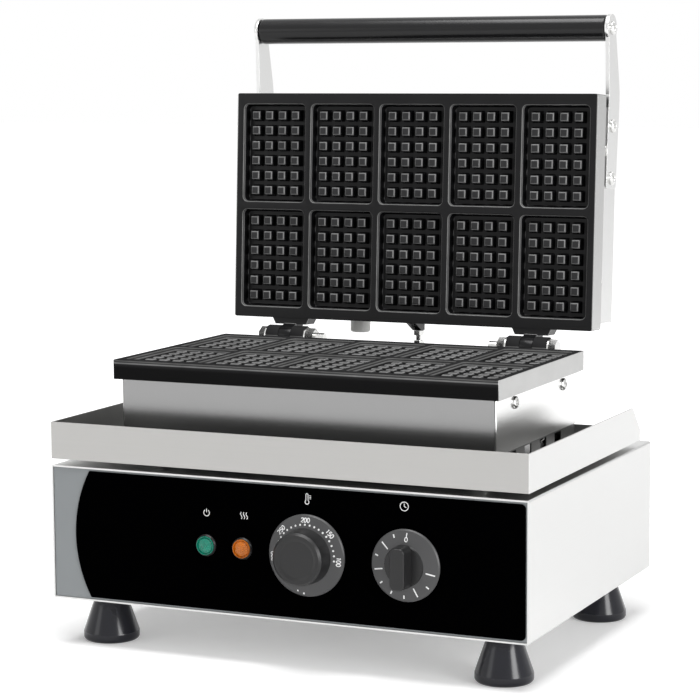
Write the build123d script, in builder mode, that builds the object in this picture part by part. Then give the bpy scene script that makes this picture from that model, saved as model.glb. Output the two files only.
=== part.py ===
"""Brussels waffle iron with a hinged lid, modelled with the lid open.

Millimetres, +Z up. X runs across the iron, the control panel faces -Y. The origin lies on the
table, under the middle of the iron from the knobs to the back of the open lid.
"""
import os
from math import asin, cos, radians, sin

from build123d import *

os.makedirs("parts", exist_ok=True)

# Base housing of folded sheet
base_width = 376.0
base_depth = 273.0
base_height = 100.0
base_centre_y = -5.2
foot_height = 35.6
sheet = 1.2
fold_radius = 1.5
side_flange = 10.0
front_flange = 20.0

# Control panel
panel_recess = 1.0
panel_return = 10.0
overlay_thickness = 0.8
overlay_margin = 2.7
overlay_right_inset = 2.5
overlay_left_inset = 32.0
overlay_bulge = 12.3
overlay_corner = 3.5

# Places on the panel, with heights above the underside of the base
power_lamp_x = -59.0
heat_lamp_x = -29.8
lamp_height = 49.8
thermostat_x = 22.1
thermostat_height = 49.3
timer_x = 98.1
timer_height = 48.5

# Signal lamps
lamp_bezel_radius = 8.0
lamp_bezel_height = 2.4
lamp_lens_radius = 6.8
lamp_lens_dome = 1.8
lamp_lens_gap = 0.2
lamp_bezel_land = 0.3
lamp_nut_flats = 17.0
lamp_nut_height = 5.0
lamp_barrel_radius = 5.9
lamp_barrel_length = 24.0

# Knobs
knob_gap = 1.0
thermostat_skirt_radius = 29.5
thermostat_grip_radius = 20.2
thermostat_knob_height = 20.0
timer_skirt_radius = 25.7
timer_hub_radius = 15.0
timer_knob_height = 19.0
timer_bar_width = 12.5
timer_bar_length = 31.0
skirt_edge_height = 2.6
skirt_edge_round = 0.8
skirt_rise = 2.0
grip_taper = 1.2
grip_edge_round = 1.6
dish_radius = 15.0
dish_depth = 0.8
dish_slope = 2.0
timer_hub_rise = 1.6
timer_bar_corner = 4.5
timer_bar_draft = 3.0

# Controls behind the panel
shaft_radius = 3.0
shaft_reach = 15.0
shaft_depth = 18.0
shaft_end_gap = 0.5
bush_radius = 4.8
bush_stand = 0.4
switch_corner = 3.0
thermostat_body_size = (44.0, 30.0, 38.0)
timer_body_size = (50.0, 36.0, 44.0)
capillary_radius = 1.0
bulb_radius = 3.0
bulb_length = 48.0

# Feet
foot_base_radius = 21.0
foot_top_radius = 11.5
foot_rim_height = 6.5
foot_rim_round = 3.0
foot_side_inset = 30.0
foot_front_inset = 32.5
foot_rear_inset = 33.5
foot_pocket_radius = 8.0
foot_pocket_depth = 12.0

# Drip tray
tray_gap = 4.8
tray_rim = 27.4
tray_rear_rim = 8.4
tray_depth = 246.2
tray_slope_length = 18.5
tray_bolt_x = 130.0
tray_bolt_y = 70.0
spacer_radius = 8.0

# Pedestal under the lower heater box
pedestal_height = 15.6
pedestal_inset = 3.0
pedestal_flange = 18.0
vent_pitch = 32.0
vent_width = 14.0
vent_height = 8.0

# Lower heater box and lid cover
box_width = 298.4
box_depth = 176.4
box_front_inset = 38.9
box_height = 40.2
cover_start = 4.3
cover_length = 167.7
cover_height = 42.0
box_bolt_x = 112.0
box_bolt_y = 62.0

# Cast plates, each in its own frame: x across, l from the hinge edge to the free edge
plate_width = 307.2
plate_depth = 181.0
plate_front_overhang = 6.1
lower_rim = 14.4
upper_rim = 20.0
core_depth = 20.0
plate_round = 2.0
parting_gap = 0.4

# Moulds
mould_columns = 5
mould_rows = 2
mould_width = 55.5
mould_length = 79.5
mould_rib = 4.6
mould_row_rib = 5.5
mould_depth = 12.5
mould_corner = 4.0
mould_draft = 8.0
mould_edge = 0.8
stud_columns = 4
stud_rows = 6
stud_pitch_x = 11.65
stud_pitch_l = 12.1
stud_base = 8.6
stud_height = 8.0
stud_draft = 9.0

# Hinge
hinge_offset = 14.8
hinge_drop = 1.8
hinge_x = 103.5
knuckle_radius = 9.0
outer_ear_width = 11.0
inner_ear_width = 10.4
ear_side_gap = 0.3
lug_width = 33.0
lug_height = 5.0
lug_front = 1.5
lug_back = 17.5
lug_taper = 3.0
ear_foot_rise = 2.1
ear_root = 1.0
open_lean = 3.25

# Open stop
stop_tab_width = 24.0
stop_tab_thickness = 5.8
stop_tab_drop = 13.1
stop_reach = 25.9
stop_head_height = 3.5
stop_head_flats = 8.0
stop_shank_radius = 2.5
stop_standoff = 8.5
stop_nut_height = 4.0
stop_thread_end = 4.0
stop_lug_width = 8.0
stop_lug_depth = 6.0

# Handle
arm_thickness = 3.0
arm_foot_l = 109.0
arm_head_l = 232.8
arm_head_t = 35.0
arm_head_radius = 10.8
arm_front_t = 28.9
arm_rear_t = 53.1
arm_shoulder_l = 182.0
arm_shoulder_t = 31.2
arm_bulge_l = 184.0
arm_bulge_t = 57.5
arm_bulge_round = 60.0
arm_neck_half = 8.4
arm_foot_round = 3.5
grip_radius = 10.2
rod_radius = 4.0
arm_screw_t = 41.0
arm_screw_low_l = 117.2
arm_screw_high_l = 157.7

# Side screws of the boxes
box_screw_low_l = 36.3
box_screw_high_l = 138.3
lower_screw_depth = 21.2
cover_screw_t = 24.6
boss_width = 12.0
boss_length = 14.0
boss_cover = 6.8
screw_bite = 9.0

# Heating elements
element_radius = 4.25
element_legs = 6
element_pitch = 48.0
element_start = 16.0
element_near = 26.0
element_far = 158.0
element_bend = 23.0
clamp_near_l = 60.0
clamp_far_l = 125.0
clamp_length = 264.0
clamp_width = 16.0
clamp_thickness = 2.5
clamp_stud_x = 96.0
clamp_stud_radius = 4.0
cutout_radius = 8.0
cutout_height = 9.0

# Wiring
sleeve_radius = 12.0
sleeve_wall = 2.0
sleeve_collar = 4.0
sleeve_end = 6.0
sleeve_offset = 46.4
gland_radius = 9.0
gland_cap_radius = 8.1
gland_neck_radius = 7.2
gland_bore = 4.6
gland_hex_height = 6.0
gland_cap_height = 10.0
gland_cap_round = 2.5
gland_neck_length = 3.6
gland_x = -130.0
gland_height = 24.0
conduit_x = -60.0

# Fasteners
base_screw_radius = 1.75
base_screw_length = 3.6
base_screw_head_radius = 3.4
base_screw_head_height = 2.0
base_screw_end_inset = 60.0
foot_bolt_radius = 3.0
foot_bolt_flats = 10.0
foot_bolt_head_height = 4.0
foot_nut_height = 5.0
frame_bolt_radius = 2.5
frame_bolt_head_radius = 4.5
frame_bolt_head_height = 3.0
frame_nut_flats = 8.0
frame_nut_height = 4.0
box_bolt_thread = 5.0
side_screw_radius = 2.5
side_screw_head_radius = 4.6
side_screw_head_height = 2.8
arm_screw_radius = 3.0
arm_screw_head_radius = 5.2
arm_screw_head_height = 3.2
thread_end = 1.0
hole_end = 2.0

# Clearances
seat_gap = 0.3
sheet_gap = 0.15
running_clearance = 0.05
hole_clearance = 0.3

# Heights
base_bottom = foot_height
base_top = base_bottom + base_height
tray_bottom = base_top + tray_gap
tray_floor = tray_bottom + sheet
box_bottom = tray_floor + pedestal_height
lower_rim_bottom = box_bottom + box_height
lower_face_z = lower_rim_bottom + lower_rim
closed_face_z = lower_face_z + parting_gap

# Depths
base_front_y = base_centre_y - base_depth / 2
base_rear_y = base_centre_y + base_depth / 2
panel_y = base_front_y + panel_recess
overlay_y = panel_y - overlay_thickness
box_front_y = base_front_y + box_front_inset
plate_front_y = box_front_y - plate_front_overhang
plate_rear_y = plate_front_y + plate_depth
box_rear_y = box_front_y + box_depth
box_centre_y = box_front_y + box_depth / 2
sleeve_y = box_centre_y + sleeve_offset
tray_rear_y = base_front_y + tray_depth

# Hinge axis, and the frame of the open lid
hinge_y = plate_rear_y + hinge_offset
hinge_z = lower_face_z - hinge_drop
stop_y = hinge_y + stop_reach
lid_axis_t = -(closed_face_z - hinge_z)
lean = radians(open_lean)
l_direction = Vector(0, sin(lean), cos(lean))
t_direction = Vector(0, cos(lean), -sin(lean))
hinge_point = Vector(0, hinge_y, hinge_z)
lid_origin = hinge_point + l_direction * hinge_offset - t_direction * lid_axis_t
lower_face = Plane(origin=(0, plate_rear_y, lower_face_z), x_dir=(-1, 0, 0), z_dir=(0, 0, 1))
upper_face = Plane(origin=lid_origin, x_dir=(1, 0, 0), z_dir=t_direction * -1)
lid_side = Plane(origin=lid_origin, x_dir=l_direction, z_dir=(-1, 0, 0))


def lid_yz(l, t):
    """Return the world y and z of a point of the open lid."""
    point = lid_origin + l_direction * l + t_direction * t
    return point.Y, point.Z


def panel_plane(x, height):
    """Return the plane of a turned part on the panel: radius along x, outwards along y."""
    return Plane(origin=(x, overlay_y, base_bottom + height), x_dir=(1, 0, 0), z_dir=(0, 0, -1))


def panel_turning(x, height):
    """Return the axis that a part on the panel is turned about."""
    return Axis((x, overlay_y, base_bottom + height), (0, -1, 0))


def dome_middle(radius, edge, top):
    """Return the middle point of the arc of a spherical dome, from its edge to its top."""
    rise = top - edge
    sphere = (radius**2 + rise**2) / (2 * rise)
    half_angle = asin(radius / sphere) / 2
    return sphere * sin(half_angle), top - sphere * (1 - cos(half_angle))


def round_screw(shank_radius, shank_length, head_radius, head_height):
    """Return a domed screw: head above its own XY plane, shank below."""
    edge = head_height * 0.2
    with BuildPart() as screw:
        with BuildSketch(Plane.XZ):
            with BuildLine():
                Line((0, head_height), (0, -shank_length))
                Line((0, -shank_length), (shank_radius, -shank_length))
                Line((shank_radius, -shank_length), (shank_radius, 0))
                Line((shank_radius, 0), (head_radius, 0))
                Line((head_radius, 0), (head_radius, edge))
                ThreePointArc(
                    (head_radius, edge),
                    dome_middle(head_radius, edge, head_height),
                    (0, head_height),
                )
            make_face()
        revolve(axis=Axis.Z)
    return screw.part


def hex_bolt(shank_radius, shank_length, across_flats, head_height):
    """Return a hexagon bolt: head above its own XY plane, shank below."""
    with BuildPart() as bolt:
        with BuildSketch(Plane.XY):
            RegularPolygon(radius=across_flats / 2, side_count=6, major_radius=False)
        extrude(amount=head_height)
        with BuildSketch(Plane.XY):
            Circle(shank_radius)
        extrude(amount=-shank_length)
    return bolt.part


def ring(outer_radius, inner_radius, height):
    """Return a plain washer or spacer that stands on its own XY plane."""
    with BuildPart() as washer:
        with BuildSketch(Plane.XY):
            Circle(outer_radius)
            Circle(inner_radius, mode=Mode.SUBTRACT)
        extrude(amount=height)
    return washer.part


def hex_nut(across_flats, bore_radius, height):
    """Return a nut that stands on its own XY plane."""
    with BuildPart() as nut:
        with BuildSketch(Plane.XY):
            RegularPolygon(radius=across_flats / 2, side_count=6, major_radius=False)
            Circle(bore_radius, mode=Mode.SUBTRACT)
        extrude(amount=height)
    return nut.part


def knob_bore(plane, axis):
    """Cut the shaft hole of a knob into the active part."""
    with BuildSketch(plane) as half_hole:
        with Locations((0, knob_gap)):
            Rectangle(
                shaft_radius + running_clearance,
                shaft_reach - knob_gap + seat_gap,
                align=(Align.MIN, Align.MIN),
            )
    revolve(half_hole.sketch, axis=axis, mode=Mode.SUBTRACT)


# Folded housing: top, sides and rear in one, open at the front, with a flange below
bottom_opening_y = base_centre_y + (front_flange - side_flange) / 2
base_screw_x = base_width / 2 - base_screw_end_inset
base_screw_columns = (-base_screw_x, 0, base_screw_x)
base_screw_front_y = base_front_y + panel_recess + panel_return * 0.6
base_screw_rear_y = base_rear_y - side_flange / 2 - sheet / 2
tray_bolts_at = [
    (x, box_centre_y + y)
    for x in (-tray_bolt_x, tray_bolt_x)
    for y in (-tray_bolt_y, tray_bolt_y)
]
box_bolts_at = [
    (x, box_centre_y + y)
    for x in (-box_bolt_x, box_bolt_x)
    for y in (-box_bolt_y, box_bolt_y)
]
rear_vent_count = 9
rear_vent_pitch = 13.0
rear_vent_length = 42.0
rear_vent_width = 5.0
rear_vent_x = 70.0

with BuildPart() as housing_shell:
    with BuildSketch(Plane.XY.offset(base_bottom)):
        with Locations((0, base_centre_y)):
            Rectangle(base_width, base_depth)
    extrude(amount=base_height)
    fillet(housing_shell.edges().filter_by(Axis.Y), fold_radius)
    with BuildSketch(Plane.XY.offset(base_bottom + sheet)):
        with Locations((0, base_centre_y - sheet / 2)):
            Rectangle(base_width - 2 * sheet, base_depth - sheet)
    extrude(amount=base_height - 2 * sheet, mode=Mode.SUBTRACT)
    with BuildSketch(Plane.XY.offset(base_bottom)):
        with Locations((0, bottom_opening_y)):
            Rectangle(base_width - 2 * side_flange, base_depth - front_flange - side_flange)
        for y in (base_screw_front_y, base_screw_rear_y):
            with Locations(*[(x, y) for x in base_screw_columns]):
                Circle(base_screw_radius + hole_clearance)
    extrude(amount=sheet, mode=Mode.SUBTRACT)
    with BuildSketch(Plane.XY.offset(base_top)):
        with Locations((0, sleeve_y)):
            Circle(sleeve_radius + hole_clearance)
        with Locations(*tray_bolts_at):
            Circle(frame_bolt_radius + hole_clearance)
    extrude(amount=-2 * sheet, mode=Mode.SUBTRACT)
    with BuildSketch(Plane.XZ.offset(-base_rear_y)):
        with Locations((gland_x, base_bottom + gland_height)):
            Circle(gland_neck_radius + hole_clearance)
        with Locations((rear_vent_x, base_bottom + base_height / 2)):
            with GridLocations(rear_vent_pitch, 1, rear_vent_count, 1):
                SlotOverall(rear_vent_length, rear_vent_width, rotation=90)
    extrude(amount=2 * sheet, mode=Mode.SUBTRACT)
housing_shell.part.label = "housing_shell"
export_step(housing_shell.part, "parts/housing_shell.step")

# Front panel, a shallow pan that stands inside the open front
panel_width = base_width - 2 * sheet - 2 * sheet_gap
panel_height = base_height - 2 * sheet - 2 * sheet_gap
panel_centre_z = base_bottom + base_height / 2

with BuildPart() as front_panel:
    with BuildSketch(Plane.XZ.offset(-panel_y)):
        with Locations((0, panel_centre_z)):
            Rectangle(panel_width, panel_height)
    extrude(amount=-panel_return)
    with BuildSketch(Plane.XZ.offset(-panel_y - sheet)):
        with Locations((0, panel_centre_z)):
            Rectangle(panel_width - 2 * sheet, panel_height - 2 * sheet)
    extrude(amount=-panel_return, mode=Mode.SUBTRACT)
    with BuildSketch(Plane.XZ.offset(-panel_y)):
        with Locations(
            (power_lamp_x, base_bottom + lamp_height),
            (heat_lamp_x, base_bottom + lamp_height),
        ):
            Circle(lamp_barrel_radius + hole_clearance)
        with Locations(
            (thermostat_x, base_bottom + thermostat_height),
            (timer_x, base_bottom + timer_height),
        ):
            Circle(bush_radius + hole_clearance)
    extrude(amount=-2 * sheet, mode=Mode.SUBTRACT)
    with BuildSketch(Plane.XY.offset(base_bottom)):
        with Locations(*[(x, base_screw_front_y) for x in base_screw_columns]):
            Circle(base_screw_radius + hole_clearance)
    extrude(amount=4 * sheet, mode=Mode.SUBTRACT)
front_panel.part.label = "front_panel"
export_step(front_panel.part, "parts/front_panel.step")

# Black control overlay, with an arc for its left end
overlay_low = base_bottom + overlay_margin
overlay_high = base_top - overlay_margin
overlay_left = overlay_left_inset - base_width / 2
overlay_right = base_width / 2 - overlay_right_inset

with BuildPart() as control_overlay:
    with BuildSketch(Plane.XZ.offset(-panel_y)) as overlay_outline:
        with BuildLine():
            Line((overlay_left, overlay_high), (overlay_right, overlay_high))
            Line((overlay_right, overlay_high), (overlay_right, overlay_low))
            Line((overlay_right, overlay_low), (overlay_left, overlay_low))
            ThreePointArc(
                (overlay_left, overlay_low),
                (overlay_left - overlay_bulge, (overlay_low + overlay_high) / 2),
                (overlay_left, overlay_high),
            )
        make_face()
        fillet(overlay_outline.vertices().group_by(Axis.X)[-1], overlay_corner)
        with Locations(
            (power_lamp_x, base_bottom + lamp_height),
            (heat_lamp_x, base_bottom + lamp_height),
        ):
            Circle(lamp_barrel_radius + hole_clearance, mode=Mode.SUBTRACT)
        with Locations(
            (thermostat_x, base_bottom + thermostat_height),
            (timer_x, base_bottom + timer_height),
        ):
            Circle(bush_radius + hole_clearance, mode=Mode.SUBTRACT)
    extrude(amount=overlay_thickness)
control_overlay.part.label = "control_overlay"
export_step(control_overlay.part, "parts/control_overlay.step")

# Bottom plate on the flanges, with vents and the foot holes
bottom_plate_z = base_bottom + sheet
bottom_plate_front_y = panel_y + panel_return + seat_gap
bottom_plate_rear_y = base_rear_y - sheet - seat_gap
bottom_plate_depth = bottom_plate_rear_y - bottom_plate_front_y
bottom_vent_pitch = 12.0
bottom_vent_count = 8
bottom_vent_length = 60.0
bottom_vent_width = 4.0
foot_x = base_width / 2 - foot_side_inset
foot_front_y = base_front_y + foot_front_inset
foot_rear_y = base_rear_y - foot_rear_inset
feet_at = {
    "foot_front_left": (-foot_x, foot_front_y),
    "foot_front_right": (foot_x, foot_front_y),
    "foot_rear_left": (-foot_x, foot_rear_y),
    "foot_rear_right": (foot_x, foot_rear_y),
}

with BuildPart() as bottom_plate:
    with BuildSketch(Plane.XY.offset(bottom_plate_z)):
        with Locations((0, (bottom_plate_front_y + bottom_plate_rear_y) / 2)):
            Rectangle(base_width - 2 * sheet - 2 * seat_gap, bottom_plate_depth)
        with Locations(*feet_at.values()):
            Circle(foot_bolt_radius + hole_clearance, mode=Mode.SUBTRACT)
        with Locations(*[(x, base_screw_rear_y) for x in base_screw_columns]):
            Circle(base_screw_radius + hole_clearance, mode=Mode.SUBTRACT)
        with Locations((0, base_centre_y)):
            with GridLocations(bottom_vent_pitch, 1, bottom_vent_count, 1):
                SlotOverall(
                    bottom_vent_length,
                    bottom_vent_width,
                    rotation=90,
                    mode=Mode.SUBTRACT,
                )
    extrude(amount=sheet)
bottom_plate.part.label = "bottom_plate"
export_step(bottom_plate.part, "parts/bottom_plate.step")


# Feet: flared rubber cones with a pocket for the bolt head
def conical_foot(x, y):
    """Return a foot that seats against the bottom plate at x, y."""
    plane = Plane(origin=(x, y, 0), x_dir=(1, 0, 0), z_dir=(0, -1, 0))
    shoulder_z = foot_rim_height
    with BuildPart() as foot:
        with BuildSketch(plane) as profile:
            with BuildLine():
                Polyline(
                    (0, 0),
                    (foot_base_radius, 0),
                    (foot_base_radius, shoulder_z),
                    (foot_top_radius, foot_height - fold_radius),
                    (foot_top_radius, bottom_plate_z),
                    (0, bottom_plate_z),
                    close=True,
                )
            make_face()
            fillet(profile.vertices().group_by(Axis.X)[-1], foot_rim_round)
        revolve(axis=Axis((x, y, 0), (0, 0, 1)))
        with BuildSketch(Plane.XY):
            with Locations((x, y)):
                Circle(foot_pocket_radius)
        extrude(amount=foot_pocket_depth, mode=Mode.SUBTRACT)
        with BuildSketch(Plane.XY):
            with Locations((x, y)):
                Circle(foot_bolt_radius + hole_clearance)
        extrude(amount=bottom_plate_z, mode=Mode.SUBTRACT)
    return foot


foot_front_left = conical_foot(*feet_at["foot_front_left"])
foot_front_left.part.label = "foot_front_left"
export_step(foot_front_left.part, "parts/foot_front_left.step")
foot_front_right = conical_foot(*feet_at["foot_front_right"])
foot_front_right.part.label = "foot_front_right"
export_step(foot_front_right.part, "parts/foot_front_right.step")
foot_rear_left = conical_foot(*feet_at["foot_rear_left"])
foot_rear_left.part.label = "foot_rear_left"
export_step(foot_rear_left.part, "parts/foot_rear_left.step")
foot_rear_right = conical_foot(*feet_at["foot_rear_right"])
foot_rear_right.part.label = "foot_rear_right"
export_step(foot_rear_right.part, "parts/foot_rear_right.step")

# Foot bolts with their heads up inside the feet, and their nuts on the bottom plate
foot_bolt_length = bottom_plate_z + sheet - foot_pocket_depth + foot_nut_height + thread_end
foot_bolt = hex_bolt(foot_bolt_radius, foot_bolt_length, foot_bolt_flats, foot_bolt_head_height)
foot_nut = hex_nut(foot_bolt_flats, foot_bolt_radius + running_clearance, foot_nut_height)

with BuildPart() as foot_bolts:
    for x, y in feet_at.values():
        with Locations(Plane(origin=(x, y, foot_pocket_depth), z_dir=(0, 0, -1))):
            add(foot_bolt)
foot_bolts.part.label = "foot_bolts"
export_step(foot_bolts.part, "parts/foot_bolts.step")

with BuildPart() as foot_nuts:
    for x, y in feet_at.values():
        with Locations((x, y, bottom_plate_z + sheet)):
            add(foot_nut)
foot_nuts.part.label = "foot_nuts"
export_step(foot_nuts.part, "parts/foot_nuts.step")

# Screws under the base: three into the front panel, three into the bottom plate
base_screw = round_screw(
    base_screw_radius,
    base_screw_length,
    base_screw_head_radius,
    base_screw_head_height,
)

with BuildPart() as base_screws:
    for y in (base_screw_front_y, base_screw_rear_y):
        for x in base_screw_columns:
            with Locations(Plane(origin=(x, y, base_bottom), z_dir=(0, 0, -1))):
                add(base_screw)
base_screws.part.label = "base_screws"
export_step(base_screws.part, "parts/base_screws.step")

# Drip tray: high rims at the front and sides, sloping down to a low rim at the rear
with BuildPart() as drip_tray:
    with BuildSketch(Plane.YZ):
        with BuildLine():
            Polyline(
                (base_front_y, tray_bottom),
                (tray_rear_y, tray_bottom),
                (tray_rear_y, tray_bottom + tray_rear_rim),
                (tray_rear_y - tray_slope_length, tray_bottom + tray_rim),
                (base_front_y, tray_bottom + tray_rim),
                close=True,
            )
        make_face()
    extrude(amount=base_width / 2, both=True)
    with BuildSketch(Plane.XY.offset(tray_floor)):
        with Locations((0, (base_front_y + tray_rear_y) / 2)):
            Rectangle(base_width - 2 * sheet, tray_depth - 2 * sheet)
    extrude(amount=tray_rim, mode=Mode.SUBTRACT)
    with BuildSketch(Plane.XY.offset(tray_bottom)):
        with Locations((0, sleeve_y)):
            Circle(sleeve_radius + hole_clearance)
        with Locations(*tray_bolts_at):
            Circle(frame_bolt_radius + hole_clearance)
    extrude(amount=2 * sheet, mode=Mode.SUBTRACT)
drip_tray.part.label = "drip_tray"
export_step(drip_tray.part, "parts/drip_tray.step")

# Spacers, bolts and nuts that carry the tray and the pedestal
tray_bolt_length = 3 * sheet + tray_gap + frame_nut_height + thread_end
tray_spacer = ring(spacer_radius, frame_bolt_radius + hole_clearance, tray_gap)
tray_bolt = round_screw(
    frame_bolt_radius,
    tray_bolt_length,
    frame_bolt_head_radius,
    frame_bolt_head_height,
)
tray_nut = hex_nut(frame_nut_flats, frame_bolt_radius + running_clearance, frame_nut_height)

with BuildPart() as tray_spacers:
    for x, y in tray_bolts_at:
        with Locations((x, y, base_top)):
            add(tray_spacer)
tray_spacers.part.label = "tray_spacers"
export_step(tray_spacers.part, "parts/tray_spacers.step")

with BuildPart() as tray_bolts:
    for x, y in tray_bolts_at:
        with Locations((x, y, tray_floor + sheet)):
            add(tray_bolt)
tray_bolts.part.label = "tray_bolts"
export_step(tray_bolts.part, "parts/tray_bolts.step")

with BuildPart() as tray_nuts:
    for x, y in tray_bolts_at:
        with Locations((x, y, base_top - sheet - frame_nut_height)):
            add(tray_nut)
tray_nuts.part.label = "tray_nuts"
export_step(tray_nuts.part, "parts/tray_nuts.step")

# Pedestal: an inverted pan with vent slots, and a flange that the tray bolts hold down
pedestal_width = box_width - 2 * pedestal_inset
pedestal_depth = box_depth - 2 * pedestal_inset
side_vent_count = int((pedestal_depth - vent_width) // vent_pitch)
front_vent_count = int((pedestal_width - vent_width) // vent_pitch)
vent_z = tray_floor + pedestal_height - 2 * sheet - vent_height / 2

with BuildPart() as pedestal:
    with BuildSketch(Plane.XY.offset(tray_floor)):
        with Locations((0, box_centre_y)):
            Rectangle(pedestal_width, pedestal_depth)
    extrude(amount=pedestal_height)
    with BuildSketch(Plane.XY.offset(tray_floor + sheet)):
        with Locations((0, box_centre_y)):
            Rectangle(pedestal_width - 2 * sheet, pedestal_depth - 2 * sheet)
    extrude(amount=pedestal_height - 2 * sheet, mode=Mode.SUBTRACT)
    with BuildSketch(Plane.XY.offset(tray_floor)):
        with Locations((0, box_centre_y)):
            Rectangle(
                pedestal_width - 2 * pedestal_flange - 2 * spacer_radius,
                pedestal_depth - 2 * pedestal_flange - 2 * spacer_radius,
            )
        with Locations(*tray_bolts_at):
            Circle(frame_bolt_radius + hole_clearance)
    extrude(amount=sheet, mode=Mode.SUBTRACT)
    with BuildSketch(Plane.XY.offset(box_bottom)):
        with Locations((0, sleeve_y)):
            Circle(sleeve_radius + hole_clearance)
        with Locations(*box_bolts_at):
            Circle(frame_bolt_radius + hole_clearance)
    extrude(amount=-sheet, mode=Mode.SUBTRACT)
    with BuildSketch(Plane.YZ):
        with Locations((box_centre_y, vent_z)):
            with GridLocations(vent_pitch, 1, side_vent_count, 1):
                Rectangle(vent_width, vent_height)
    extrude(amount=base_width / 2, both=True, mode=Mode.SUBTRACT)
    with BuildSketch(Plane.XZ.offset(-box_centre_y)):
        with Locations((0, vent_z)):
            with GridLocations(vent_pitch, 1, front_vent_count, 1):
                Rectangle(vent_width, vent_height)
    extrude(amount=base_depth / 2, both=True, mode=Mode.SUBTRACT)
pedestal.part.label = "pedestal"
export_step(pedestal.part, "parts/pedestal.step")

# Lower heater box, open under the cast plate
lower_screw_z = lower_face_z - lower_screw_depth
lower_screw_ys = (plate_rear_y - box_screw_low_l, plate_rear_y - box_screw_high_l)
conduit_z = box_bottom + box_height * 0.45

with BuildPart() as lower_heater_box:
    with BuildSketch(Plane.XY.offset(box_bottom)):
        with Locations((0, box_centre_y)):
            Rectangle(box_width, box_depth)
    extrude(amount=box_height)
    fillet(lower_heater_box.edges().filter_by(Axis.Z), fold_radius)
    with BuildSketch(Plane.XY.offset(box_bottom + sheet)):
        with Locations((0, box_centre_y)):
            Rectangle(box_width - 2 * sheet, box_depth - 2 * sheet)
    extrude(amount=box_height, mode=Mode.SUBTRACT)
    with BuildSketch(Plane.XY.offset(box_bottom)):
        with Locations((0, sleeve_y)):
            Circle(sleeve_radius + hole_clearance)
        with Locations(*box_bolts_at):
            Circle(frame_bolt_radius + hole_clearance)
    extrude(amount=sheet, mode=Mode.SUBTRACT)
    with BuildSketch(Plane.YZ):
        with Locations(*[(y, lower_screw_z) for y in lower_screw_ys]):
            Circle(side_screw_radius + hole_clearance)
    extrude(amount=box_width, both=True, mode=Mode.SUBTRACT)
    with BuildSketch(Plane.XZ.offset(-box_rear_y)):
        with Locations((conduit_x, conduit_z)):
            Circle(gland_neck_radius + hole_clearance)
    extrude(amount=2 * sheet, mode=Mode.SUBTRACT)
lower_heater_box.part.label = "lower_heater_box"
export_step(lower_heater_box.part, "parts/lower_heater_box.step")

# Bolts from inside the heater box into the pedestal
box_bolt_length = 2 * sheet + box_bolt_thread
box_bolt = round_screw(
    frame_bolt_radius,
    box_bolt_length,
    frame_bolt_head_radius,
    frame_bolt_head_height,
)

with BuildPart() as box_bolts:
    for x, y in box_bolts_at:
        with Locations((x, y, box_bottom + sheet)):
            add(box_bolt)
box_bolts.part.label = "box_bolts"
export_step(box_bolts.part, "parts/box_bolts.step")


# Cast plates
mould_pitch_x = mould_width + mould_rib
mould_pitch_l = mould_length + mould_row_rib
core_width = box_width - 2 * sheet - 2 * seat_gap - 2 * fold_radius
core_start = plate_rear_y - box_rear_y + sheet + fold_radius + seat_gap
core_centre_l = plate_depth / 2
core_length = 2 * (plate_rear_y - (box_front_y + sheet + fold_radius + seat_gap) - core_centre_l)
boss_x = core_width / 2 - boss_width / 2
clamp_depth = core_depth + 2 * element_radius + 2 * seat_gap


def cast_plate(face, rim_depth, bosses):
    """Return a cast plate with its moulds in the given face; bosses are (l, depth) pairs."""
    middle = (0, core_centre_l)
    with BuildPart() as plate:
        with BuildSketch(face):
            with Locations(middle):
                RectangleRounded(plate_width, plate_depth, plate_round)
        extrude(amount=-rim_depth)
        if core_depth > rim_depth:
            with BuildSketch(face.offset(-rim_depth)):
                with Locations(middle):
                    Rectangle(core_width, core_length)
            extrude(amount=rim_depth - core_depth)
        for boss_l, boss_depth in bosses:
            with BuildSketch(face.offset(-rim_depth)):
                with Locations((-boss_x, boss_l), (boss_x, boss_l)):
                    Rectangle(boss_width, boss_length)
            extrude(amount=rim_depth - boss_depth)
        with BuildSketch(face.offset(-core_depth)):
            for clamp_l in (clamp_near_l, clamp_far_l):
                with Locations((-clamp_stud_x, clamp_l), (clamp_stud_x, clamp_l)):
                    Circle(clamp_stud_radius)
        extrude(amount=core_depth - clamp_depth - clamp_thickness)
    return plate.part


def waffle_stud():
    """Return one truncated pyramid that stands on its own XY plane."""
    with BuildPart() as stud:
        with BuildSketch(Plane.XY):
            Rectangle(stud_base, stud_base)
        extrude(amount=stud_height, taper=stud_draft)
    return stud.part


def cut_moulds(face, stud):
    """Cut the moulds into the active part, with a softened edge, and stand the studs in them."""
    with BuildSketch(face) as softened_edge:
        with Locations((0, core_centre_l)):
            with GridLocations(mould_pitch_x, mould_pitch_l, mould_columns, mould_rows):
                RectangleRounded(
                    mould_width + 2 * mould_edge,
                    mould_length + 2 * mould_edge,
                    mould_corner + mould_edge,
                )
    extrude(softened_edge.sketch, amount=-mould_edge, taper=45, mode=Mode.SUBTRACT)
    with BuildSketch(face) as mould:
        with Locations((0, core_centre_l)):
            with GridLocations(mould_pitch_x, mould_pitch_l, mould_columns, mould_rows):
                RectangleRounded(mould_width, mould_length, mould_corner)
    extrude(mould.sketch, amount=-mould_depth, taper=mould_draft, mode=Mode.SUBTRACT)
    with Locations(face.offset(-mould_depth)):
        with Locations((0, core_centre_l)):
            with GridLocations(mould_pitch_x, mould_pitch_l, mould_columns, mould_rows):
                with GridLocations(stud_pitch_x, stud_pitch_l, stud_columns, stud_rows):
                    add(stud)


mould_stud = waffle_stud()
lower_boss_depth = lower_screw_depth + boss_cover
side_hole_depth = screw_bite + hole_end
hinge_bolt_radius = 4.0
ear_low_z = lower_rim_bottom + ear_foot_rise
tab_top_z = lower_face_z - stop_tab_drop + stop_tab_thickness
tab_rear_y = stop_y + stop_head_flats

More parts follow.
